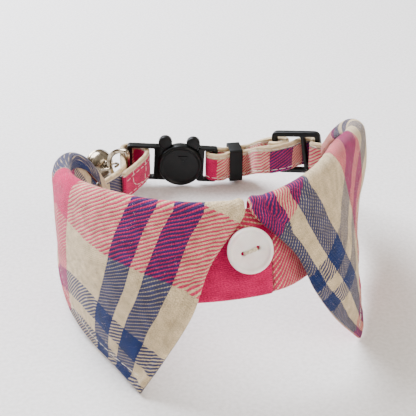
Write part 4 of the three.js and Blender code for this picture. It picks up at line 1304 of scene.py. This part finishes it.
class COLLAR_OT_metal(bpy.types.Operator):
    """Makes the D ring, the jump ring and the bell"""
    bl_idname = "collar.metal"
    bl_label = "Ring and bell"

    def execute(self, context):
        nickel = nickel_plate()
        bell_place, link_place = bell_frames()
        opening = 0.09
        link = mesh_of(*wire(ring_path(JUMP_RING["radius"], opening, 2 * math.pi - opening, 64, False),
                             JUMP_RING["wire"], 16, False))
        for name, meshes, place in (("d_ring", d_ring_meshes(), fitting(D_RING)),
                                    ("jump_ring", [link], link_place), ("bell", bell_meshes(), bell_place)):
            made = joined(f"{name}_plated", meshes, place, nickel)
            finish_piece(made, [name])
        return {"FINISHED"}


class COLLAR_OT_stage(bpy.types.Operator):
    """Makes the floor, the lights and the camera"""
    bl_idname = "collar.stage"
    bl_label = "Stage"

    def execute(self, context):
        values = context.scene.collar_stage
        middle = (Vector((0, 0, 20)) + SHIFT) * MM
        floor = bpy.data.meshes.new("floor")
        reach = 3.0
        floor.from_pydata([(-reach, -reach, 0), (reach, -reach, 0), (reach, reach, 0), (-reach, reach, 0)],
                          [], [(0, 1, 2, 3)])
        floor.materials.append(floor_paint())
        in_scene("floor", floor)

        turn, rise = values.camera_turn, values.camera_rise
        back = Vector((math.sin(turn) * math.cos(rise), -math.cos(turn) * math.cos(rise), math.sin(rise)))
        camera = in_scene("camera", bpy.data.cameras.new("camera"))
        camera.data.sensor_width, camera.data.lens = 36.0, values.lens
        camera.data.clip_start = 0.01
        camera.location = middle + back * values.camera_distance
        camera.rotation_euler = (-back).to_track_quat("-Z", "Y").to_euler()
        context.scene.camera = camera

        for name, place, size, power, colour in (
                ("window", (-0.28, 0.42, 0.5), (0.55, 0.4), values.window_power, "#eef1fb"),
                ("fill", (0.35, -0.5, 0.45), (0.6, 0.6), values.fill_power, "#fff6ea")):
            lamp = bpy.data.lights.new(name, "AREA")
            lamp.shape, lamp.size, lamp.size_y = "RECTANGLE", *size
            lamp.energy, lamp.color = power, linear(colour)[:3]
            holder = in_scene(name, lamp)
            holder.location = place
            holder.rotation_euler = (middle - Vector(place)).to_track_quat("-Z", "Y").to_euler()
        world = bpy.data.worlds.new("room")
        world.use_nodes = True
        sky = world.node_tree.nodes["Background"]
        sky.inputs[1].default_value = values.room
        add = partial(add_node, world.node_tree)
        height = add("ShaderNodeSeparateXYZ", add("ShaderNodeTexCoord").outputs["Generated"]).outputs["Z"]
        walls = add(COLOUR_RAMP, height, stops=[(0.0, "#a08a74"), (0.3, "#cdbfae"), (0.6, "#fbf6f0")])
        world.node_tree.links.new(walls.outputs[0], sky.inputs[0])
        context.scene.world = world
        return {"FINISHED"}


class COLLAR_PT_panel(bpy.types.Panel):
    bl_label = "Pet shirt collar"
    bl_idname = "COLLAR_PT_panel"
    bl_space_type = "VIEW_3D"
    bl_region_type = "UI"
    bl_category = "Collar"

    def draw(self, context):
        layout = self.layout
        for group in ("collar_cloth", "collar_fittings", "collar_stage"):
            values = getattr(context.scene, group)
            box = layout.box()
            for name in values.bl_rna.properties.keys():
                if name not in ("rna_type", "name"):
                    box.prop(values, name)
        for operator in OPERATORS:
            layout.operator(operator.bl_idname)


OPERATORS = (COLLAR_OT_band, COLLAR_OT_leaves, COLLAR_OT_straps, COLLAR_OT_button, COLLAR_OT_fittings,
             COLLAR_OT_metal, COLLAR_OT_stage)
CLASSES = (CollarCloth, CollarFittings, CollarStage, *OPERATORS, COLLAR_PT_panel)
GROUPS = {"collar_cloth": CollarCloth, "collar_fittings": CollarFittings, "collar_stage": CollarStage}


def register():
    for kind in CLASSES:
        bpy.utils.register_class(kind)
    for name, group in GROUPS.items():
        setattr(bpy.types.Scene, name, PointerProperty(type=group))


def unregister():
    for name in GROUPS:
        delattr(bpy.types.Scene, name)
    for kind in reversed(CLASSES):
        bpy.utils.unregister_class(kind)


def main():
    register()
    for kind in OPERATORS:
        group, action = kind.bl_idname.split(".")
        getattr(getattr(bpy.ops, group), action)()


if __name__ == "__main__":
    main()
